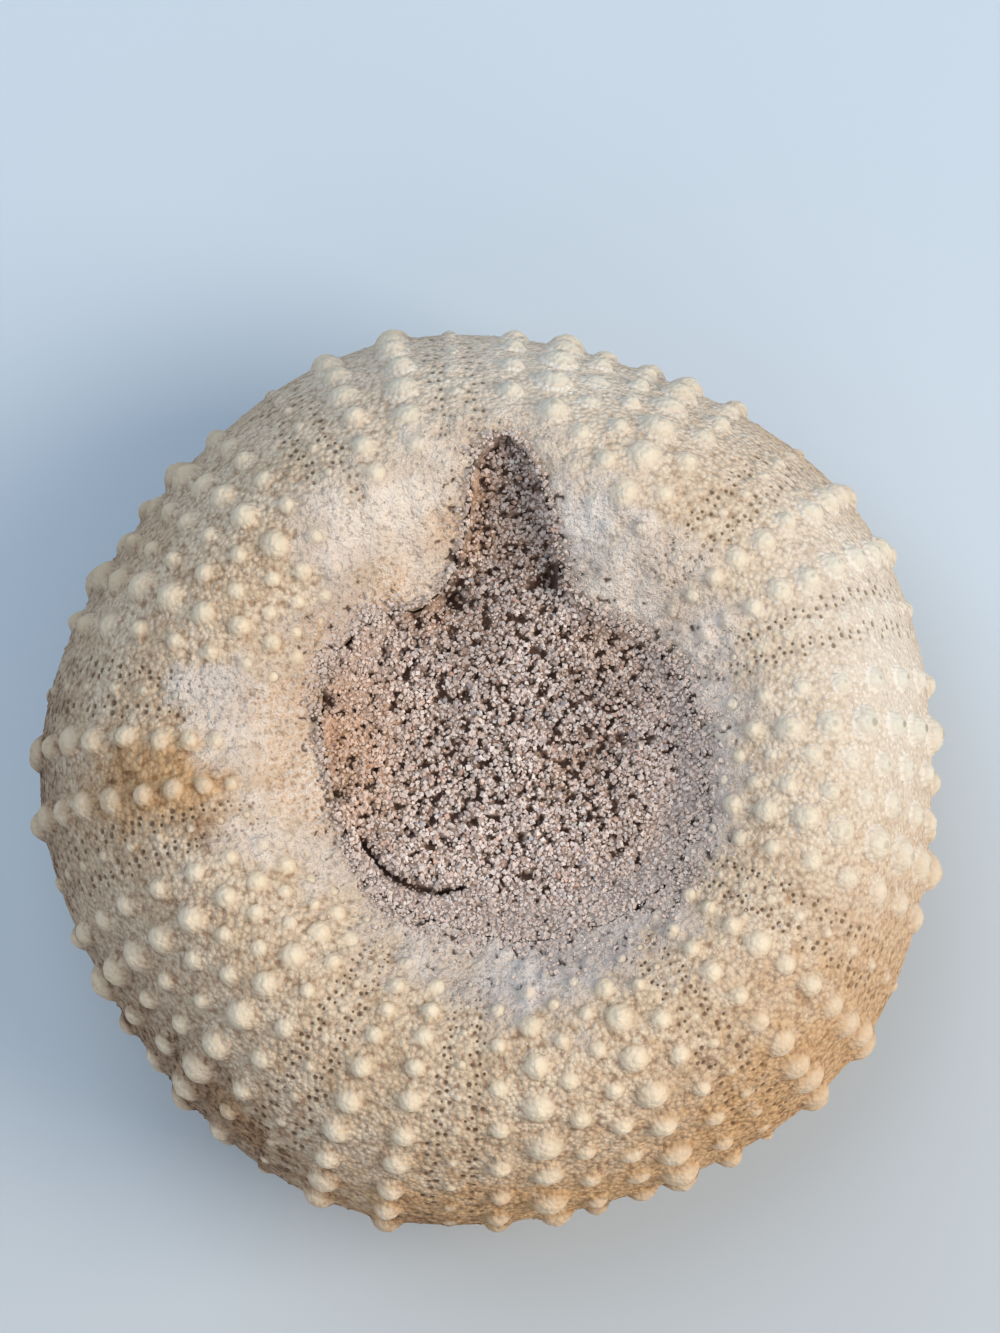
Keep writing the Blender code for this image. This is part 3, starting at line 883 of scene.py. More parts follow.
SKIN_BASE = OUTER.in_space(*SKIN[:, :2].T)
ON_TOP = SKIN[:, 0] > WIDEST
SKIN_DUST = powder(SKIN[:, 0], SKIN[:, 1], SKIN_BASE)
SKIN_ROOM = np.where(ON_TOP, distance_to(EDGE_TREE, SKIN_BASE[:, :2]), FAR)
SKIN_HOLES = holes_in_dust(SKIN_BASE[:, :2], SKIN_ROOM) * ramp(*HOLED_FROM, SKIN_DUST)


def skin_lumps(rough, octaves=3):
    height, size = rough
    return height * lumps(SKIN_BASE, size, octaves)


def streaks(places):
    """Ridges of dust that run outwards from the mouth."""
    at, drawn, size, height = STREAKS
    radius = np.hypot(*places[:, :2].T)
    round_it = places[:, :2] / np.maximum(radius, MM)[:, None] * at
    return height * lumps(np.column_stack([round_it, radius * drawn]), size, 2)


def relief():
    """How far each point of the skin is moved out by fine relief."""
    plate = skin_lumps(PLATE_ROUGH)
    dust = skin_lumps(DUST_ROUGH) + skin_lumps(DUST_WAVE, 2)
    dust += streaks(SKIN_BASE)
    rough = plate + (dust - plate) * SKIN_DUST - HOLE_IN_DUST * SKIN_HOLES
    step = 1 - flush(SKIN[:, 1])
    rough = rough - step * EDGE_DROP * bell(SKIN_ROOM / EDGE_REACH)
    low = SKIN[:, 0] < OUTER.along_on_base(BASE_RING[0] - 0.2 * MM)
    return np.where(low, apex_relief(SKIN_BASE), rough) * (1 - SMOOTH_PORES * SKIN[:, 4])


SKIN[:, 2] += relief() + swell(SKIN[:, 0], SKIN[:, 1])
SKIN_PLACES = OUTER.in_space(*SKIN[:, :3].T)
on_ring = (np.hypot(*SKIN_PLACES[:, :2].T) > BASE_RING[0] - 0.1 * MM) & (SKIN[:, 0] < WIDEST)
SKIN_PLACES[on_ring, 2] = np.maximum(SKIN_PLACES[on_ring, 2], 0.0)
print("skin from", SKIN_PLACES.min(axis=0).round(5), "to", SKIN_PLACES.max(axis=0).round(5))

# %% [markdown]
# ## The shell as one closed body
# The outer skin is triangulated on the flat map, where Blender's own Delaunay routine works. The
# inside is a plain lining, because sand hides it. A short rough wall round the mouth joins the two,
# so that the shell stays one closed body with a real thickness.

# %% Triangles, and the lining
LINING_STEP = 2 * math.pi / 24
LINING_SHIFT = 8  # degrees by which every second row is turned
LINING_BAND = (-2.3, 1.4)  # first and last row, in shares of the local radius from the widest ring
LINING_MARGIN = 1.2 * MM  # kept free at the mouth's edge


def triangles(flat):
    """Triangles between flat points, inside the mouth's edge, which is the first EDGE_POINTS of them."""
    edges = [(i, (i + 1) % EDGE_POINTS) for i in range(EDGE_POINTS)]
    points = [Vector(point) for point in flat / np.abs(flat).max()]
    _, _, faces, sources, _, _ = delaunay_2d_cdt(points, edges, [], 1, 1e-7)
    return np.array([[sources[corner][0] for corner in face] for face in faces])


def lining(gap):
    """The shell's smooth inside or, a gap away from it, the outside of the packed sand."""
    surface = OUTER.inside(WALL)
    edge = loop_on(surface, mouth_loop(EDGE_POINTS))
    rows = []
    for row, odd in staggered(*LINING_BAND, LINING_STEP):
        around = directions(LINING_STEP) + odd * LINING_SHIFT
        rows.append(np.column_stack([np.full(len(around), surface.along_at_row(row)), around]))
    filler = np.vstack(rows)
    radius = surface.read(surface.radius, filler[:, 0])
    below = filler[:, 0] < surface.along[surface.widest]
    filler = filler[below | (radius > mouth_radius(filler[:, 1]) + LINING_MARGIN)]
    placed = np.vstack([edge, filler, [[0.0, 0.0]]])
    faces = triangles(surface.on_map(*placed.T))
    placed[:EDGE_POINTS] = loop_on(surface, mouth_loop(EDGE_POINTS, gap))
    return surface.in_space(*placed.T, lift=-gap), faces


skin_faces = triangles(OUTER.on_map(*SKIN[:, :2].T))
print("triangles of the skin:", len(skin_faces))

# %% The wall between skin and lining
WALL_ROWS = 5
WALL_ROUGH = 0.16 * MM
WALL_LUMPS = 0.7 * MM
ROUGH_SHARES = (1, 1, 0.4)  # of that roughness, along x, y and z


def wall_between(upper, lower, rows, rough):
    """Rows of points from one loop to another, roughened sideways, without the two loops."""
    found = []
    for row in range(1, rows):
        level = upper + (lower - upper) * row / rows
        found.append(level + rough * lumps(level, WALL_LUMPS)[:, None] * ROUGH_SHARES)
    return np.vstack(found)


def wall_faces(loops):
    """Two triangles between each two neighbours on neighbouring loops of point numbers."""
    faces = []
    for above, below in zip(loops, loops[1:]):
        a, b = above, np.roll(above, -1)
        c, d = below, np.roll(below, -1)
        faces += [np.stack([a, b, d], axis=1), np.stack([a, d, c], axis=1)]
    return np.vstack(faces)


# %% Make the shell
def add_to_scene(name, data):
    """A new object for a mesh, a lamp or a camera."""
    made = bpy.data.objects.new(name, data)
    bpy.context.scene.collection.objects.link(made)
    return made


def closed_body(name, top, top_faces, inside, inside_faces, rows, rough):
    """One mesh from a shown skin and a hidden one, joined by a wall between their first points."""
    wall = wall_between(top[:EDGE_POINTS], inside[:EDGE_POINTS], rows, rough)
    starts = [0] + [len(top) + EDGE_POINTS * row for row in range(rows - 1)] + [len(top) + len(wall)]
    loops = [start + np.arange(EDGE_POINTS) for start in starts]
    points = np.vstack([top, wall, inside])
    faces = np.vstack([top_faces, wall_faces(loops), inside_faces + len(top) + len(wall)])
    mesh = bpy.data.meshes.new(name)
    mesh.from_pydata(points.tolist(), [], faces.tolist())
    bm = bmesh.new()
    bm.from_mesh(mesh)
    bmesh.ops.recalc_face_normals(bm, faces=bm.faces)
    bm.to_mesh(mesh)
    bm.free()
    mesh.shade_smooth()
    print(name, "triangles:", len(mesh.polygons))
    return add_to_scene(name, mesh)


def carry(made, name, values):
    """Stores a number for each point of a mesh, for its material to read. The rest get 0."""
    numbers = np.zeros(len(made.data.vertices), np.float32)
    numbers[: len(values)] = values
    made.data.attributes.new(name, "FLOAT", "POINT").data.foreach_set("value", numbers)


shell = closed_body("test_skin", SKIN_PLACES, skin_faces, *lining(0.0), WALL_ROWS, WALL_ROUGH)
carry(shell, "dust", SKIN_DUST)
carry(shell, "knob", SKIN[:, 3])
carry(shell, "pore", SKIN[:, 4])
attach(shell, "root")
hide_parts("test")

# %% [markdown]
# ## The sand in the mouth
# Sand packed the shell and set hard. Its open surface is sunken: level with the shell at the right
# and near side, a step down at the far side and in the slot. A dark bed, painted with shade, gives the
# depth that shows between grains. The grains themselves are joined meshes of small angular lumps, one
# for each size.

# %% The level of the sand
SUNK = 0.9 * MM  # below the shell, and twice that in the slot
SLOT_SETS_IN = (13 * MM, 19 * MM)  # from the axis, over which it sinks into the slot
LEVEL_SIDE = (-35, 0.5 * MM)  # the side, in degrees, where it lies higher, and by how much
LEVEL_REACH = 14 * MM  # from the axis, where it has risen by all of that
SAND_WAVES = ((0.30 * MM, 3.0 * MM, 0.0), (0.16 * MM, 1.1 * MM, 0.01))  # height, size, layer of noise
MOUND = (-6.0, -6.3, 3.6)  # its middle and its width, in millimetres
MOUND_HEIGHT = 0.5 * MM
CRACK_MM = ((-9.6, -6.2), (-8.7, -7.5), (-7.5, -8.7), (-6.1, -9.4), (-4.3, -9.8), (-2.4, -9.6))
CRACK_WIDTH = 0.26 * MM
CRACK_STEPS = 10  # of the curve, between each two of those points
HOLLOWS_MM = ((-2.8, 12.1, 0.8), (-12.3, 4.4, 0.7), (4.4, 13.4, 1.0), (-11.6, -2.6, 0.6))
MEET = (0.35 * MM, 2.6 * MM)  # over which the sand climbs to the shell, where it steps and where flush
CRACK = curve_through(np.array(CRACK_MM) * MM, CRACK_STEPS)
CRACK_TREE = near_tree(CRACK)


def waves(flat, size, layer=0.0):
    """Smooth noise from -1 to 1 at flat points, with lumps of this size."""
    return np.array([noise.noise(Vector((*point, layer)) / size) for point in flat])


def shell_height(flat):
    """Height of the shell's surface over flat points, also where the mouth is open."""
    degrees = degrees_of(flat)
    along = OUTER.along_on_top(np.hypot(*flat.T))
    return OUTER.read(OUTER.height, along) + swell(along, degrees)


def sand_height(flat):
    """Height of the sand's surface at flat points."""
    side, rise = LEVEL_SIDE
    towards = np.cos(np.radians(degrees_of(flat) - side))
    level = rise * towards * np.minimum(np.hypot(*flat.T) / LEVEL_REACH, 1)
    in_slot = ramp(*SLOT_SETS_IN, flat[:, 1])
    mound = MOUND_HEIGHT * patch(flat, *MOUND)
    uneven = sum(height * waves(flat, size, layer) for height, size, layer in SAND_WAVES)
    below = level + mound + uneven - SUNK * (1 + in_slot)
    climb = ramp(0, by_side(MEET, flat), to_mouth(flat))
    return shell_height(flat) + below * climb


def sunk_spots(flat):
    """1 in the crack and the deep hollows of the sand, 0 on its even ground."""
    sunk = bell(distance_to(CRACK_TREE, flat) / CRACK_WIDTH)
    for hollow in HOLLOWS_MM:
        sunk = np.maximum(sunk, patch(flat, *hollow))
    return sunk


print("length of the crack, mm:", round(float(np.hypot(*np.diff(CRACK, axis=0).T).sum()) / MM, 1))

# %% [markdown]
# ## Stains in the sand
# Iron stained the sand: orange at the left, red in the slot and at the far right. It is murky in
# patches, partly dirt that stayed in it and partly painted shade, and closed where few holes washed
# out. Each kind of patch has a table of places, widths and strengths, and both the bed and its grains
# read them, so that they always agree.

# %% Stains
# Each row: x, y and width in millimetres, and strength.
RUST_MM = (
    (-11.5, 3.5, 4.5, 1.0), (-10.0, -2.5, 3.5, 0.6), (-1.2, 20.0, 1.5, 0.9), (-0.6, 16.0, 1.8, 0.6),
    (8.6, 8.6, 2.6, 0.5), (5.5, -0.6, 2.0, 0.45), (-4.5, 11.0, 2.0, 0.5), (11.0, -6.0, 2.5, 0.3),
)
RUST_ON_DUST = (
    (-14.6, 4.0, 3.2, 0.9), (-13.8, -3.0, 3.2, 0.9), (-12.5, 9.0, 2.8, 0.7), (-7.5, 12.8, 2.6, 0.8),
    (-3.6, 17.0, 1.8, 0.7), (-15.5, -0.5, 2.0, 0.5), (14.5, -9.0, 3.5, 0.3), (13.0, 10.5, 1.8, 0.4),
)
# Darker patches: partly dirt, partly painted shade.
MURK_AND_SHADE_MM = (
    (-1.2, 8.6, 3.0, 0.5), (8.5, 6.0, 3.4, 0.5), (2.5, 15.5, 2.4, 0.7), (8.0, 0.5, 2.6, 0.4),
    (1.5, 19.0, 2.4, 0.6), (-2.0, 2.0, 4.0, 0.2), (0.0, 12.5, 2.6, 0.4),
)
# Where holes are fewer.
CLOSED_MM = (
    (-9.5, 2.0, 4.5, 0.18), (-5.0, -9.5, 3.0, 0.12), (1.0, -11.5, 4.5, 0.26), (9.0, -9.5, 4.5, 0.22),
    (13.5, -2.0, 3.5, 0.22), (12.5, 4.5, 2.5, 0.12), (-9.6, -9.8, 2.6, 0.45),
)
CHALK_CLOSES = 0.30  # how far chalk closes them
LOOSER = (5 * MM, 0.16)  # size and strength of the noise that opens and closes whole regions


def closed(flat):
    """How far holes are closed at flat points."""
    size, strength = LOOSER
    return patchy(flat, CLOSED_MM) + CHALK_CLOSES * chalky(flat) + strength * waves(flat, size)


def carry_stains(made, flat, points_each=1):
    """Lets a mesh of the sand carry its stains, with this many points of it at each flat place."""
    stains = {"rust": patchy(flat, RUST_MM), "murk_and_shade": patchy(flat, MURK_AND_SHADE_MM), "chalky": chalky(flat)}
    for name, values in stains.items():
        carry(made, name, np.repeat(values, points_each))


print("patches of rust and murk:", len(RUST_MM), len(MURK_AND_SHADE_MM))

# %% [markdown]
# ## The bed
# Under the grains the sand is a rough sheet, painted duller than its grains and dark brown in its
# holes, as the shade between and under them. It carries how deep each point lies, so that its finish
# can follow.

# %% Build the bed
SLIT = 0.07 * MM  # between shell and sand at the surface
BED_DROP = 0.12 * MM  # below the sand's level, where its grains lie
BED_STEP = 0.20 * MM
BED_GRID = 25 * MM  # how far its grid reaches from the axis
BED_MARGIN = 0.45 * MM  # between the grid and the mouth's smooth edge
BED_ROOM = 0.12 * MM  # between the grid and the points of the crumbled edge
BED_ROUGH = (0.14 * MM, 0.5 * MM)  # height, and size of the lumps
BED_WALL_ROWS = 3
HOLE_DEPTH = 0.55 * MM
SPOT_DROP = 1.5 * MM

flat_bed = staggered_grid(BED_GRID, BED_STEP)
flat_bed = flat_bed[in_mouth(flat_bed) & (to_mouth(flat_bed) > BED_MARGIN)]
bed_edge = mouth_loop(EDGE_POINTS, SLIT, EDGE_RAGGED)
flat_bed = flat_bed[distance_to(near_tree(bed_edge), flat_bed) > BED_ROOM]
flat_bed = np.vstack([bed_edge, flat_bed])
bed_holes = holes(flat_bed, closed(flat_bed))
bed_spots = sunk_spots(flat_bed)
bed_height = sand_height(flat_bed) - BED_DROP - HOLE_DEPTH * bed_holes
bed_height -= SPOT_DROP * bed_spots
rough_height, rough_size = BED_ROUGH
bed_height += rough_height * lumps(np.column_stack([flat_bed, bed_height]), rough_size, 2)
bed_places = np.column_stack([flat_bed, bed_height])
bed = closed_body("sand_bed", bed_places, triangles(flat_bed), *lining(GAP), BED_WALL_ROWS, 0.0)
carry(bed, "hole", np.maximum(bed_holes, bed_spots))
carry_stains(bed, flat_bed)
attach(bed, "root")
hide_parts("sand_fill")

# %% [markdown]
# ## Grains
# Real grains are blunt, angular blocks, not beads. Each one here is a cube with its corners pushed in
# and out, stretched and turned at random, and thousands are worked out in one go as arrays. Coarse
# grains pack the ground between the holes, finer ones lie in and over them, and small ones spill over
# the edge and roughen the dust on the shell.

# %% Where grains lie
COARSE_GRAIN = (0.14 * MM, 0.25 * MM)  # smallest and largest radius
FINE_GRAIN = (0.07 * MM, 0.13 * MM)
DUST_GRAIN = (0.07 * MM, 0.15 * MM)
COARSE_STEP = 0.31 * MM
FINE_STEP = 0.30 * MM
DUST_GRAIN_STEP = 0.36 * MM
COARSE_IN_HOLES = 0.06  # how many of the grains lie in holes too
FINE_IN_HOLES = 0.30
GRAIN_GRID = 26 * MM  # how far the grid of grains reaches from the axis
GRAIN_NUDGE = 0.3  # as a share of the step
MOST_GRAINS = 0.96  # the share of places that have a grain on open ground
FEWER_IN_SPOTS = 0.9
INTO_SPOTS = 0.6  # how far down a crack or hollow its grains lie
SET_IN = 0.05 * MM  # how deep coarse grains and those on the dust are set in
LIE = 0.07 * MM  # how much grains differ in height
# Where the shell stands above the sand, and where the two are flush:
SPILL = (0.35 * MM, 1.8 * MM)  # how far sand lies over the edge
DUST_GRAIN_SHARE = (0.35, 0.90)  # how many places on the dust have a grain, at the edge
DUST_GRAIN_REACH = (2.0 * MM, 5.2 * MM)


def strewn(step):
    """A staggered grid over the mouth side, every point nudged."""
    flat = staggered_grid(GRAIN_GRID, step)
    return flat + draw.normal(0, GRAIN_NUDGE * step, flat.shape)


def spilt(flat):
    """From 1 in the mouth down to 0 where no sand lies on the dust any more."""
    out = np.where(in_mouth(flat), 0.0, to_mouth(flat))
    return bell(out / by_side(SPILL, flat))


def sand_level(flat):
    """The sand's height in the mouth, the shell's outside it."""
    return np.where(in_mouth(flat), sand_height(flat), shell_height(flat))


def sand_grains(step, in_hole, lift):
    """Rows of x, y, z and depth for grains. Some lie in holes too, a share of in_hole."""
    flat = strewn(step)
    flat = flat[draw.random(len(flat)) < spilt(flat)]
    hole, spot = holes(flat, closed(flat)), sunk_spots(flat)
    chance = (MOST_GRAINS - (1 - in_hole) * hole) * (1 - FEWER_IN_SPOTS * spot)
    keep = draw.random(len(flat)) < chance
    flat, hole, spot = flat[keep], hole[keep], spot[keep]
    height = sand_level(flat) + lift - HOLE_DEPTH * hole - INTO_SPOTS * SPOT_DROP * spot
    height += draw.normal(0, LIE, len(flat))
    return np.column_stack([flat, height, np.maximum(hole, spot)])


def grains_on_dust():
    """Rows of x, y, z and depth for grains on the shell round the mouth, fewer with distance."""
    flat = strewn(DUST_GRAIN_STEP)
    flat = flat[~in_mouth(flat)]
    room = to_mouth(flat)
    chance = by_side(DUST_GRAIN_SHARE, flat) * bell(room / by_side(DUST_GRAIN_REACH, flat))
    keep = draw.random(len(flat)) < chance
    flat, room = flat[keep], room[keep]
    hole = holes_in_dust(flat, room)
    return np.column_stack([flat, shell_height(flat) - SET_IN - HOLE_IN_DUST * hole, hole])


# %% Build the grains
CORNERS = np.array([(x, y, z) for x in (-1, 1) for y in (-1, 1) for z in (-1, 1)])
SIDES = np.array([
    (0, 1, 3), (0, 3, 2), (4, 6, 7), (4, 7, 5), (0, 4, 5), (0, 5, 1),
    (2, 3, 7), (2, 7, 6), (0, 2, 6), (0, 6, 4), (1, 5, 7), (1, 7, 3),
])  # fmt: skip
CORNER_SPREAD = (0.65, 1.3)  # how far each corner is pushed in or out
STRETCH = (0.7, 1.35)  # along each axis


def turned(count):
    """Random rotations, as matrices."""
    w, x, y, z = draw.normal(size=(4, count)) + 1e-9
    size = np.sqrt(w * w + x * x + y * y + z * z)
    w, x, y, z = w / size, x / size, y / size, z / size
    rows = (
        (1 - 2 * (y * y + z * z), 2 * (x * y - z * w), 2 * (x * z + y * w)),
        (2 * (x * y + z * w), 1 - 2 * (x * x + z * z), 2 * (y * z - x * w)),
        (2 * (x * z - y * w), 2 * (y * z + x * w), 1 - 2 * (x * x + y * y)),
    )
    return np.moveaxis(np.array(rows), -1, 0)


def grain_mesh(name, places, smallest, largest):
    """One mesh with a grain at each place."""
    count, corners = len(places), len(CORNERS)
    shape = CORNERS[None] / math.sqrt(3) * draw.uniform(*CORNER_SPREAD, (count, corners, 1))
    shape = shape * draw.uniform(*STRETCH, (count, 1, 3))
    shape = np.einsum("nij,nkj->nki", turned(count), shape)
    shape = shape * draw.uniform(smallest, largest, (count, 1, 1)) + places[:, None, :3]
    numbers = SIDES[None] + corners * np.arange(count)[:, None, None]
    mesh = bpy.data.meshes.new(name)
    mesh.from_pydata(shape.reshape(-1, 3).tolist(), [], numbers.reshape(-1, 3).tolist())
    made = add_to_scene(name, mesh)
    carry(made, "tint", np.repeat(draw.random(count), corners))
    carry(made, "hole", np.repeat(places[:, 3], corners))
    carry_stains(made, places[:, :2], corners)
    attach(made, "root")
    print(name, "grains:", count, "triangles:", len(mesh.polygons))
    return made


coarse = grain_mesh("coarse_sand", sand_grains(COARSE_STEP, COARSE_IN_HOLES, -SET_IN), *COARSE_GRAIN)
fine = grain_mesh("fine_sand", sand_grains(FINE_STEP, FINE_IN_HOLES, 0.0), *FINE_GRAIN)
dusty = grain_mesh("dust_grains", grains_on_dust(), *DUST_GRAIN)

# %% [markdown]
# ## A small language for finishes
# A finish is a graph of nodes, and sums of masks are easier to read as sums. A wire is one output of
# a node. Adding, multiplying or turning wires over makes the Math nodes. Every other node comes from
# one method that takes its kind, its settings and what goes into its sockets.


# %% Wires and finishes
class Wire:
    """One output of a node."""

    def __init__(self, finish, socket):
        self.finish = finish
        self.socket = socket

    def maths(self, operation, *values):
        return self.finish.node("ShaderNodeMath", {"operation": operation}, dict(enumerate(values)))

    def __add__(self, other):
        return self.maths("ADD", self, other)

    def __sub__(self, other):
        return self.maths("SUBTRACT", self, other)

    def __rsub__(self, other):
        return self.maths("SUBTRACT", other, self)

    def __mul__(self, other):
        return self.maths("MULTIPLY", self, other)

    __radd__ = __add__
    __rmul__ = __mul__

    def over(self, low, high):
        """0 below low, 1 above high, smooth between. With low above high it falls instead."""
        limits = {"Value": self, "From Min": low, "From Max": high}
        return self.finish.node("ShaderNodeMapRange", {"interpolation_type": "SMOOTHSTEP"}, limits)


class Finish:
    """A material, and what its nodes are made with."""

    def __init__(self, name, **uniform):
        self.made = bpy.data.materials.new(name)
        self.made.use_nodes = True
        self.tree = self.made.node_tree
        self.shader = self.tree.nodes["Principled BSDF"]
        for socket, value in uniform.items():
            self.shader.inputs[socket.replace("_", " ")].default_value = value

    def feed(self, socket, value):
        """Links a wire to a socket, or sets the socket to a plain value."""
        if isinstance(value, Wire):
            self.tree.links.new(value.socket, socket)
        else:
            socket.default_value = value

    def node(self, kind, settings=None, sockets=None, out=0):
        """A node with its settings and what goes into its sockets, as the wire from one output."""
        made = self.tree.nodes.new(kind)
        for key, value in (settings or {}).items():
            if key == "stops":
                set_stops(made.color_ramp, value)
            else:
                setattr(made, key, value)
        for key, value in (sockets or {}).items():
            self.feed(made.inputs[key], value)
        return Wire(self, made.outputs[out])

    def carried(self, name):
        """A number that the mesh carries."""
        return self.node("ShaderNodeAttribute", {"attribute_name": name}, out="Fac")

    def place(self):
        return self.node("ShaderNodeTexCoord", out="Object")

    def cloud(self, size, detail=2.0, roughness=0.5):
        """Noise from 0 to 1 with lumps of about this size in metres."""
        sockets = {"Vector": self.place(), "Scale": 1 / size, "Detail": detail, "Roughness": roughness}
        return self.node("ShaderNodeTexNoise", {"noise_dimensions": "3D"}, sockets)

    def cells(self, size):
        """How far a point is from the nearest of many lumps' middles, from 0 to about 1 size."""
        sockets = {"Vector": self.place(), "Scale": 1 / size}
        return self.node("ShaderNodeTexVoronoi", {"voronoi_dimensions": "3D"}, sockets)

    def mixed(self, first, second, share):
        """The first colour where share is 0, the second where it is 1."""
        sockets = {0: share, 6: first, 7: second}
        return self.node("ShaderNodeMix", {"data_type": "RGBA"}, sockets, out=2)

    def layered(self, colour, *layers):
        """A colour with others laid over it in turn, each with the share that it covers."""
        for over, share in layers:
            colour = self.mixed(colour, over, share)
        return colour

    def bumped(self, height, depth):
        """A normal bent by a height from 0 to 1 that stands for this many metres."""
        return self.node("ShaderNodeBump", None, {"Height": height, "Distance": depth, "Strength": 1.0})

    def wear(self, **sockets):
        """Feeds the shader and gives the finished material."""
        for socket, value in sockets.items():
            self.feed(self.shader.inputs[socket.replace("_", " ")], value)
        return self.made


def set_stops(colour_ramp, stops):
    """Gives a colour ramp its stops. It comes with two, and the others are added."""
    for number, (place, colour) in enumerate(stops):
        if number < 2:
            stop = colour_ramp.elements[number]
            stop.position = place
        else:
            stop = colour_ramp.elements.new(place)
        stop.color = colour


def srgb(red, green, blue):
    """A colour as seen on a screen, from 0 to 255, as the linear light that shaders work in."""
    seen = np.array([red, green, blue]) / 255
    linear = np.where(seen <= 0.04045, seen / 12.92, ((seen + 0.055) / 1.055) ** 2.4)
    return (*linear.tolist(), 1.0)


# %% [markdown]
# ## Where the shell is stained
# Iron in the ground stained the shell: honey yellow low on the front and right, umber between the
# knobs at the front left and along one pore zone. The left is greyed, and the right and far right are
# bleached. Knobs low on the rim, where it lies in shade, are darkened with painted shade. Some of the
# dust has a bluish painted shade, and some is rusty. A stain is a soft patch. On the plates its place
# is an angle and a walk outwards from the mouth's middle, and on the dust it is x and y. The mesh
# carries them all, and noise in the shader frays them.


# %% Stains carried by the mesh
# Each patch: degrees, width in degrees, walk and width in millimetres, strength.
HONEY = (
    (0, 16, 50, 4, 0.5),
    (-42, 40, 40, 12, 1.0), (-85, 34, 43, 10, 1.0), (0, 22, 44, 7, 0.55), (45, 14, 42, 6, 0.6),
    (184, 9, 25, 8, 1.0), (188, 12, 21, 3, 0.6), (92, 7, 22, 4, 0.6), (258, 24, 44, 8, 0.7),
    (231, 4, 36.8, 2.2, 1.3), (235, 4, 37.6, 2.2, 1.3), (86, 32, 31, 8, 0.3),
)  # fmt: skip
UMBER = (
    (226, 26, 42, 9, 0.9), (258, 16, 45, 6, 0.6), (184, 9, 27, 8, 0.45), (150, 26, 44, 8, 0.5),
    (180, 24, 42, 8, 0.7), (290, 20, 47, 4, 0.8), (330, 22, 48, 5, 0.7), (193, 7, 22, 3, 0.5),
    (231, 3.5, 36.8, 2.0, 0.5), (235, 3.5, 37.6, 2.0, 0.5),
)  # fmt: skip
GREY = ((215, 26, 33, 10, 0.5), (165, 60, 38, 10, 0.4))
PALE = ((12, 34, 34, 12, 1.0), (60, 26, 36, 9, 0.5), (82, 32, 32, 10, 0.75))
# Painted shade: knobs darkened where the rim lies in shade.
KNOB_SHADE = ((155, 60, 42, 13, 0.9), (235, 50, 49, 7, 0.75), (320, 50, 51, 6, 0.7), (60, 50, 46, 9, 0.35))
STAINS = {"honey": HONEY, "umber": UMBER, "grey": GREY, "pale": PALE, "knob_shade": KNOB_SHADE}
# On the dust, each patch: x, y and width in millimetres, strength.
# A bluish tint on the dust, as painted cool shade.
COOL_SHADE_MM = ((7.5, 17.0, 4.0, 0.35), (-20.0, 5.0, 3.5, 0.2), (2.0, -15.5, 3.5, 0.2))
LIP_FADE = 2.6 * MM  # how far specks spread from the sand


def patches(walk, degrees, table):
    """The strongest of the patches at each point."""
    found = np.zeros(len(walk))
    for middle, wide, out, deep, strength in table:
        here = bell(angle_off(degrees, middle) / wide) * bell((walk - out * MM) / (deep * MM))
        found = np.maximum(found, strength * here)
    return found


skin_walk = OUTER.along[-1] - SKIN[:, 0]
for name, table in STAINS.items():
    carry(shell, name, patches(skin_walk, SKIN[:, 1], table))
carry(shell, "cool_shade", patchy(SKIN_BASE[:, :2], COOL_SHADE_MM) * ON_TOP)
carry(shell, "rust", patchy(SKIN_BASE[:, :2], RUST_ON_DUST) * ON_TOP)
carry(shell, "flush", flush(SKIN[:, 1]))
carry(shell, "hole", SKIN_HOLES)
carry(shell, "lip", np.exp(-SKIN_ROOM / LIP_FADE))
print("stains carried by the shell:", ", ".join(STAINS))

# %% [markdown]
# ## The limestone
# Knob tops are rubbed pale and smooth, and lighten further towards the tip with a painted highlight.
# The ground between them holds dirt, with painted shade in the low gaps of its cells. Pores and holes
# are painted dark as the shade in them. On the bleached side each knob has a painted highlight ring
# round its foot and a small nub painted dark as its shade. Knobs where the rim lies in shade are
# darkened with painted shade, and some of the dust has a bluish painted shade. The dust is chalky and
# speckled, more so towards the sand. The limestone is matt, so most of the look is colour and fine
# relief. Noise of three sizes frays the stains. The bump is a small cell pattern on the plates, which
# fades on rubbed tops, and a grit in the dust.


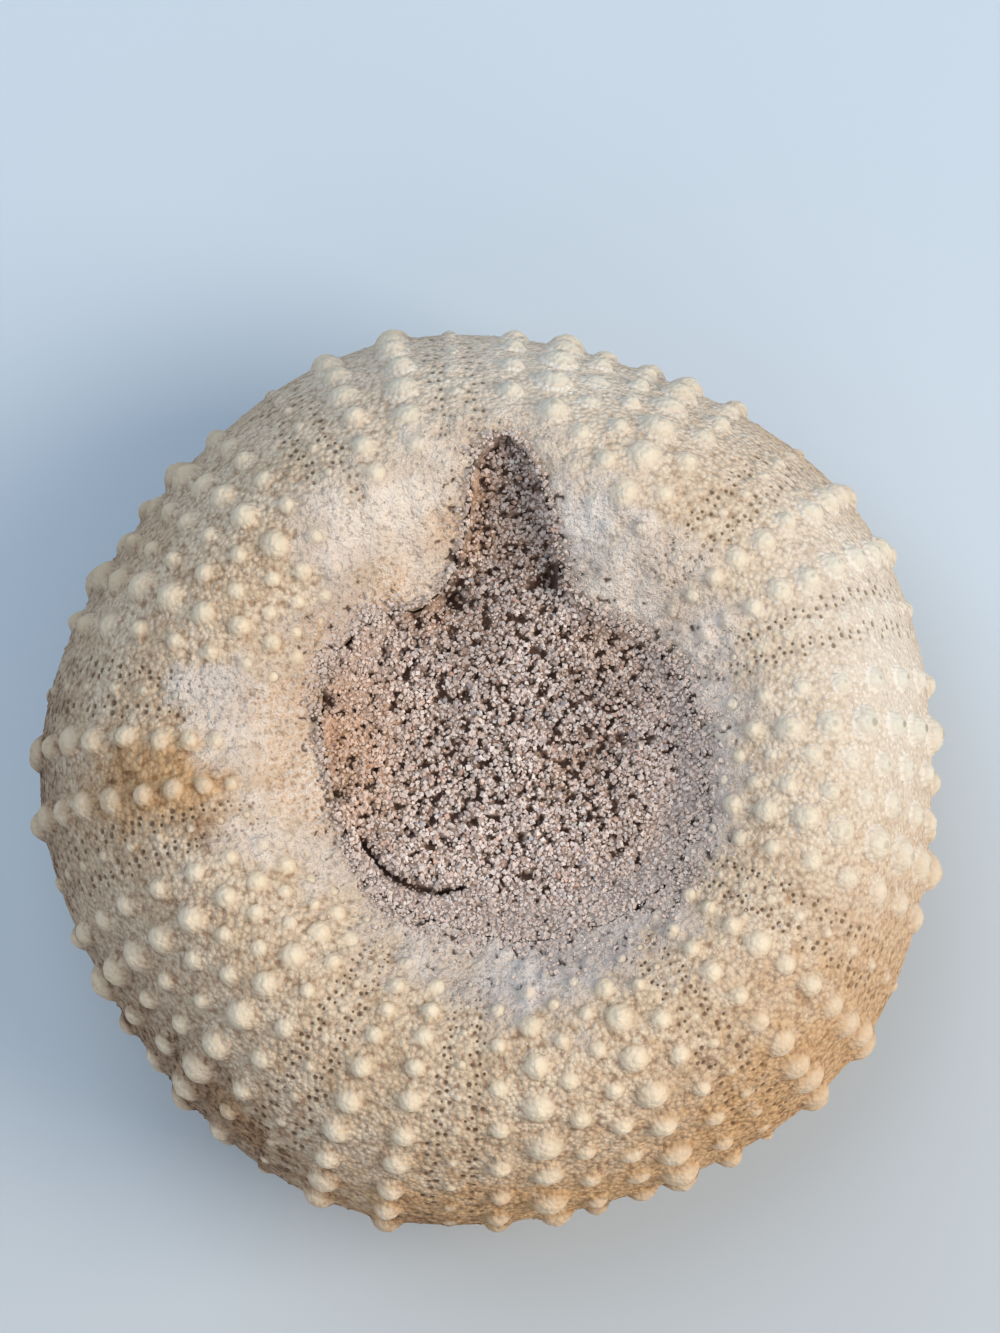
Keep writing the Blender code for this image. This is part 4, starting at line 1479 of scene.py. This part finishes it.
# %% The plates
def plates(stone, top, broad, middling, fine, pebbles):
    """The colour of the plates: dirt and painted shade between their grains, stains, and pale rubbed
    knobs with painted light on them.
    """
    knob, pale = stone.carried("knob"), stone.carried("pale")
    uneven = (broad - 0.5) * 0.5 + (middling - 0.5) * 1.2 + (fine - 0.5) * 0.6
    honey = (stone.carried("honey") + uneven).over(0.1, 0.85)
    umber = (stone.carried("umber") + uneven).over(0.1, 0.85)
    ground = stone.layered(
        stone.mixed(srgb(212, 186, 156), srgb(226, 205, 179), broad.over(0.35, 0.65)),
        (srgb(206, 160, 106), honey * 0.75),
        (srgb(150, 112, 80), umber * 0.75),
        (srgb(172, 148, 124), stone.carried("grey") * 0.7),
        (srgb(227, 217, 203), pale * 0.85),
    )
    # Dirt, with painted shade in the low gaps between the bump's cells, where shade falls.
    dirt_and_shade = stone.layered(srgb(140, 106, 78), (srgb(138, 92, 50), honey), (srgb(92, 62, 42), umber))
    gap_dirt_and_shade = pebbles.over(0.36, 0.8) * 0.35
    in_grain = fine.over(0.56, 0.36) * (0.5 + umber * 0.35)
    ground = stone.mixed(ground, dirt_and_shade, (gap_dirt_and_shade + in_grain) * (1 - top) * (1 - pale * 0.75))
    # Knob tops lighten towards the tip: rubbed wear, with a painted highlight on top.
    rubbed_lit_tip = knob.over(0.35, 0.95)
    rubbed = stone.layered(
        stone.mixed(srgb(214, 193, 166), srgb(234, 216, 188), rubbed_lit_tip),
        (srgb(212, 183, 152), honey * 0.75),
        # Painted shade on knobs where the rim lies in shade.
        (srgb(178, 153, 122), stone.carried("knob_shade") * 0.8),
        (srgb(216, 210, 195), pale),
        # The nub on each knob's tip is painted dark as its shade, on the bleached side.
        (srgb(126, 120, 98), knob.over(0.87, 0.97) * pale * 0.9),
        (ground, fine.over(0.46, 0.62) * (0.55 - rubbed_lit_tip * 0.25) * (1 - pale)),
    )
    # A light ring round each knob's foot on the bleached side: a painted highlight.
    ring = knob.over(0.01, 0.10) * knob.over(0.42, 0.22) * pale
    return stone.layered(ground, (srgb(240, 232, 220), ring * 0.8), (rubbed, top * 0.85))


# %% The dust
def chalk(stone, broad, grit, tiny):
    """The colour of the dust: warm at the back and left, rosy where it lies flush with the sand."""
    warm = stone.mixed(srgb(238, 220, 202), srgb(222, 201, 181), broad.over(0.4, 0.6))
    rosy = stone.mixed(srgb(216, 201, 190), srgb(194, 178, 167), broad.over(0.4, 0.6))
    rust = (stone.carried("rust") + (broad - 0.5) * 0.6).over(0.1, 0.8)
    speck = grit.over(0.47, 0.34) * 0.45 + tiny.over(0.48, 0.30) * stone.carried("lip") * 0.6
    return stone.layered(
        stone.mixed(warm, rosy, stone.carried("flush")),
        # Painted cool shade on the dust.
        (srgb(214, 215, 218), stone.carried("cool_shade")),
        (srgb(216, 172, 130), rust * grit.over(0.66, 0.38) * 0.7),
        (srgb(118, 94, 80), speck),
    )


# %% The limestone finish
def limestone():
    stone = Finish("limestone", Metallic=0.0, Specular_IOR_Level=0.3)
    broad, middling = stone.cloud(5 * MM, 3), stone.cloud(1.5 * MM, 3)
    fine = stone.cloud(0.6 * MM, 3, 0.65)
    grit, tiny = stone.cloud(0.42 * MM, 3, 0.7), stone.cloud(0.22 * MM, 2, 0.6)
    pebbles = stone.cells(0.42 * MM)
    top = stone.carried("knob").over(0.14, 0.65)
    powdery = (stone.carried("dust") + (fine - 0.5) * 0.6 - top * 0.35).over(0.1, 0.9)
    # Pores are painted dark as the shade in them, greyer on the bleached side.
    pore_shade = stone.mixed(srgb(118, 90, 68), srgb(140, 122, 94), stone.carried("pale"))
    colour = stone.layered(
        plates(stone, top, broad, middling, fine, pebbles),
        (chalk(stone, broad, grit, tiny), powdery),
        # Holes in the dust are painted dark brown as the shade in them.
        (srgb(92, 68, 54), stone.carried("hole").over(0.25, 0.95) * 0.9),
        (pore_shade, stone.carried("pore").over(0.02, 0.5) * (0.9 - powdery * 0.7)),
    )
    granular = (1 - pebbles) * (1 - powdery * 0.7) + tiny * 0.4 + (fine * 1.6 + grit * 1.3) * powdery
    normal = stone.bumped(granular * (1 - top * 0.45), 0.22 * MM)
    return stone.wear(Base_Color=colour, Roughness=0.9 - top * 0.2, Normal=normal)


shell.data.materials.append(limestone())
print("nodes in the limestone:", len(shell.data.materials[0].node_tree.nodes))

# %% [markdown]
# ## The sand's colours
# Most grains are a pinkish cream quartz, with a few orange, rosy and blue-grey ones. Each grain
# carries a random number, and a ramp turns it into a colour. Grains down in holes are darkened with
# painted shade. The bed under them goes from a duller cream to a dark brown in its holes: painted
# shade, which gives the holes their depth.

# %% The sand finishes
SAND_COLOURS = (
    (0.0, srgb(184, 158, 144)), (0.12, srgb(214, 192, 180)), (0.45, srgb(232, 214, 204)),
    (0.76, srgb(242, 228, 218)), (0.88, srgb(222, 198, 186)), (0.93, srgb(214, 172, 150)),
    (0.96, srgb(184, 150, 136)), (0.985, srgb(170, 168, 174)), (1.0, srgb(242, 236, 228)),
)  # fmt: skip


def stained(sand, colour):
    """The colour with rust, murky patches of dirt and painted shade, and chalk over it."""
    return sand.layered(
        colour,
        (srgb(224, 170, 116), sand.carried("rust") * 0.5),
        # Murky patches: partly dirt, partly painted shade.
        (srgb(96, 68, 50), sand.carried("murk_and_shade") * 0.55),
        (srgb(208, 190, 178), sand.carried("chalky") * 0.7),
    )


def quartz():
    """The finish of all the grains."""
    sand = Finish("quartz_grains", Metallic=0.0, Specular_IOR_Level=0.35)
    colours = {"stops": SAND_COLOURS}
    colour = sand.node("ShaderNodeValToRGB", colours, {"Fac": sand.carried("tint")})
    cloudy = sand.cloud(2.5 * MM, 3).over(0.35, 0.7)
    colour = sand.layered(
        stained(sand, colour),
        # Grains that lie in holes and the crack are painted darker, as the shade down there.
        (srgb(96, 72, 60), sand.carried("hole") * 0.8),
        (srgb(150, 134, 126), cloudy * 0.25),
    )
    normal = sand.bumped(sand.cloud(0.12 * MM, 2), 0.03 * MM)
    return sand.wear(Base_Color=colour, Roughness=0.7 + 0.2 * cloudy, Normal=normal)


def bed_with_painted_shade():
    sand = Finish("bed_with_painted_shade", Metallic=0.0, Roughness=1.0)
    spots = sand.cloud(0.3 * MM, 3)
    ground = sand.mixed(srgb(124, 100, 86), srgb(182, 158, 142), spots.over(0.4, 0.65))
    # The dark brown in the holes and the crack is painted shade.
    colour = sand.mixed(stained(sand, ground), srgb(98, 72, 59), sand.carried("hole").over(0.05, 0.8))
    normal = sand.bumped(spots, 0.12 * MM)
    return sand.wear(Base_Color=colour, Normal=normal)


finish_of_grains = quartz()
for piece in (coarse, fine, dusty):
    piece.data.materials.append(finish_of_grains)
bed.data.materials.append(bed_with_painted_shade())

# %% [markdown]
# ## Floor and light
# A plain pale floor and soft light leave the attention on the shell. The main lamp is warm and large
# and shines from the right. The lamp at the back and the sky are cool and nearly as strong together,
# so shadows stay pale and bluish. A weak warm lamp at the near side stands for the room. The floor's
# colour is painted light: grey and darker at the near side, turning to a lighter faint blue beyond.

# %% Floor and light
FLOOR_REACH = 3.0  # metres
# The floor's turn from grey to blue is painted light: darker near the camera, lighter beyond.
FLOOR_SHADE_TURNS = (-0.06, 0.02)  # where along y it turns from grey to blue, in metres
# Name, direction (0 is the right) and height in degrees, distance and width in metres, watts, colour.
LAMPS = (
    ("sun_side", -8, 40, 0.9, 0.52, 6.5, (1.0, 0.90, 0.76)),
    ("sky_side", 130, 60, 1.0, 0.8, 4.6, (0.74, 0.88, 1.0)),
    ("room_side", -85, 45, 0.9, 0.6, 1.1, (1.0, 0.93, 0.82)),
)
SKY = (0.64, 0.78, 0.98, 1.0)
SKY_STRENGTH = 0.46


def plain_floor():
    corners = [(x * FLOOR_REACH, y * FLOOR_REACH, 0) for x, y in ((-1, -1), (1, -1), (1, 1), (-1, 1))]
    mesh = bpy.data.meshes.new("floor")
    mesh.from_pydata(corners, [], [(0, 1, 2, 3)])
    card = Finish("pale_floor", Metallic=0.0, Roughness=0.7)
    soft = card.cloud(40 * MM, 3)
    # Painted light: a darker grey near the camera, a lighter blue beyond.
    across = card.node("ShaderNodeSeparateXYZ", None, {"Vector": card.place()}, out="Y")
    far_lit_floor = card.mixed(srgb(190, 201, 211), srgb(195, 204, 213), soft)
    colour = card.mixed(srgb(186, 190, 193), far_lit_floor, across.over(*FLOOR_SHADE_TURNS))
    mesh.materials.append(card.wear(Base_Color=colour))
    add_to_scene("floor", mesh)


def soft_light(name, azimuth, elevation, distance, size, power, colour):
    """A square lamp that shines at the object."""
    lamp = bpy.data.lights.new(name, "AREA")
    lamp.shape, lamp.size, lamp.energy, lamp.color = "SQUARE", size, power, colour
    a, e = math.radians(azimuth), math.radians(elevation)
    out = Vector((math.cos(a) * math.cos(e), math.sin(a) * math.cos(e), math.sin(e)))
    made = add_to_scene(name, lamp)
    made.location = out * distance
    made.rotation_euler = (-out).to_track_quat("-Z", "Y").to_euler()


plain_floor()
for lamp in LAMPS:
    soft_light(*lamp)

world = bpy.data.worlds.new("sky")
world.use_nodes = True
background = world.node_tree.nodes["Background"]
background.inputs["Color"].default_value = SKY
background.inputs["Strength"].default_value = SKY_STRENGTH
bpy.context.scene.world = world
bpy.context.scene.view_settings.view_transform = "Standard"
print("lamps, watts:", [lamp[5] for lamp in LAMPS])

# %% [markdown]
# ## The camera
# The shell is seen from almost straight above, with the near side a little closer. The lens is worked
# out from how many pixels a millimetre takes, and the aim from where the target falls in the frame.
# That is easier to measure and to correct than a focal length and an angle.

# %% The camera
TARGET = Vector((0.0, 0.0, 16.0 * MM))
CAMERA_TILT = 83.3  # degrees above the horizon
CAMERA_DISTANCE = 300.0 * MM
IMAGE = (1000, 1333)  # pixels
PIXELS_PER_MM = 13.10  # at the target
TARGET_PIXEL = (492, 774)
SENSOR = 36.0  # the sensor's longer side, in millimetres, along the frame's longer side

tilt = math.radians(CAMERA_TILT)
back = Vector((0.0, -math.cos(tilt), math.sin(tilt)))
image_up = Vector((0.0, math.sin(tilt), math.cos(tilt)))
aim = TARGET.copy()
aim.x += (IMAGE[0] / 2 - TARGET_PIXEL[0]) / PIXELS_PER_MM * MM
aim += image_up * (TARGET_PIXEL[1] - IMAGE[1] / 2) / PIXELS_PER_MM * MM

lens = bpy.data.cameras.new("camera")
lens.sensor_width = SENSOR
lens.lens = SENSOR * CAMERA_DISTANCE / (IMAGE[1] / PIXELS_PER_MM * MM)
camera = add_to_scene("camera", lens)
camera.location = TARGET + back * CAMERA_DISTANCE
camera.rotation_euler = (camera.location - aim).to_track_quat("Z", "Y").to_euler()
bpy.context.scene.camera = camera
print("lens, mm:", round(lens.lens, 1))
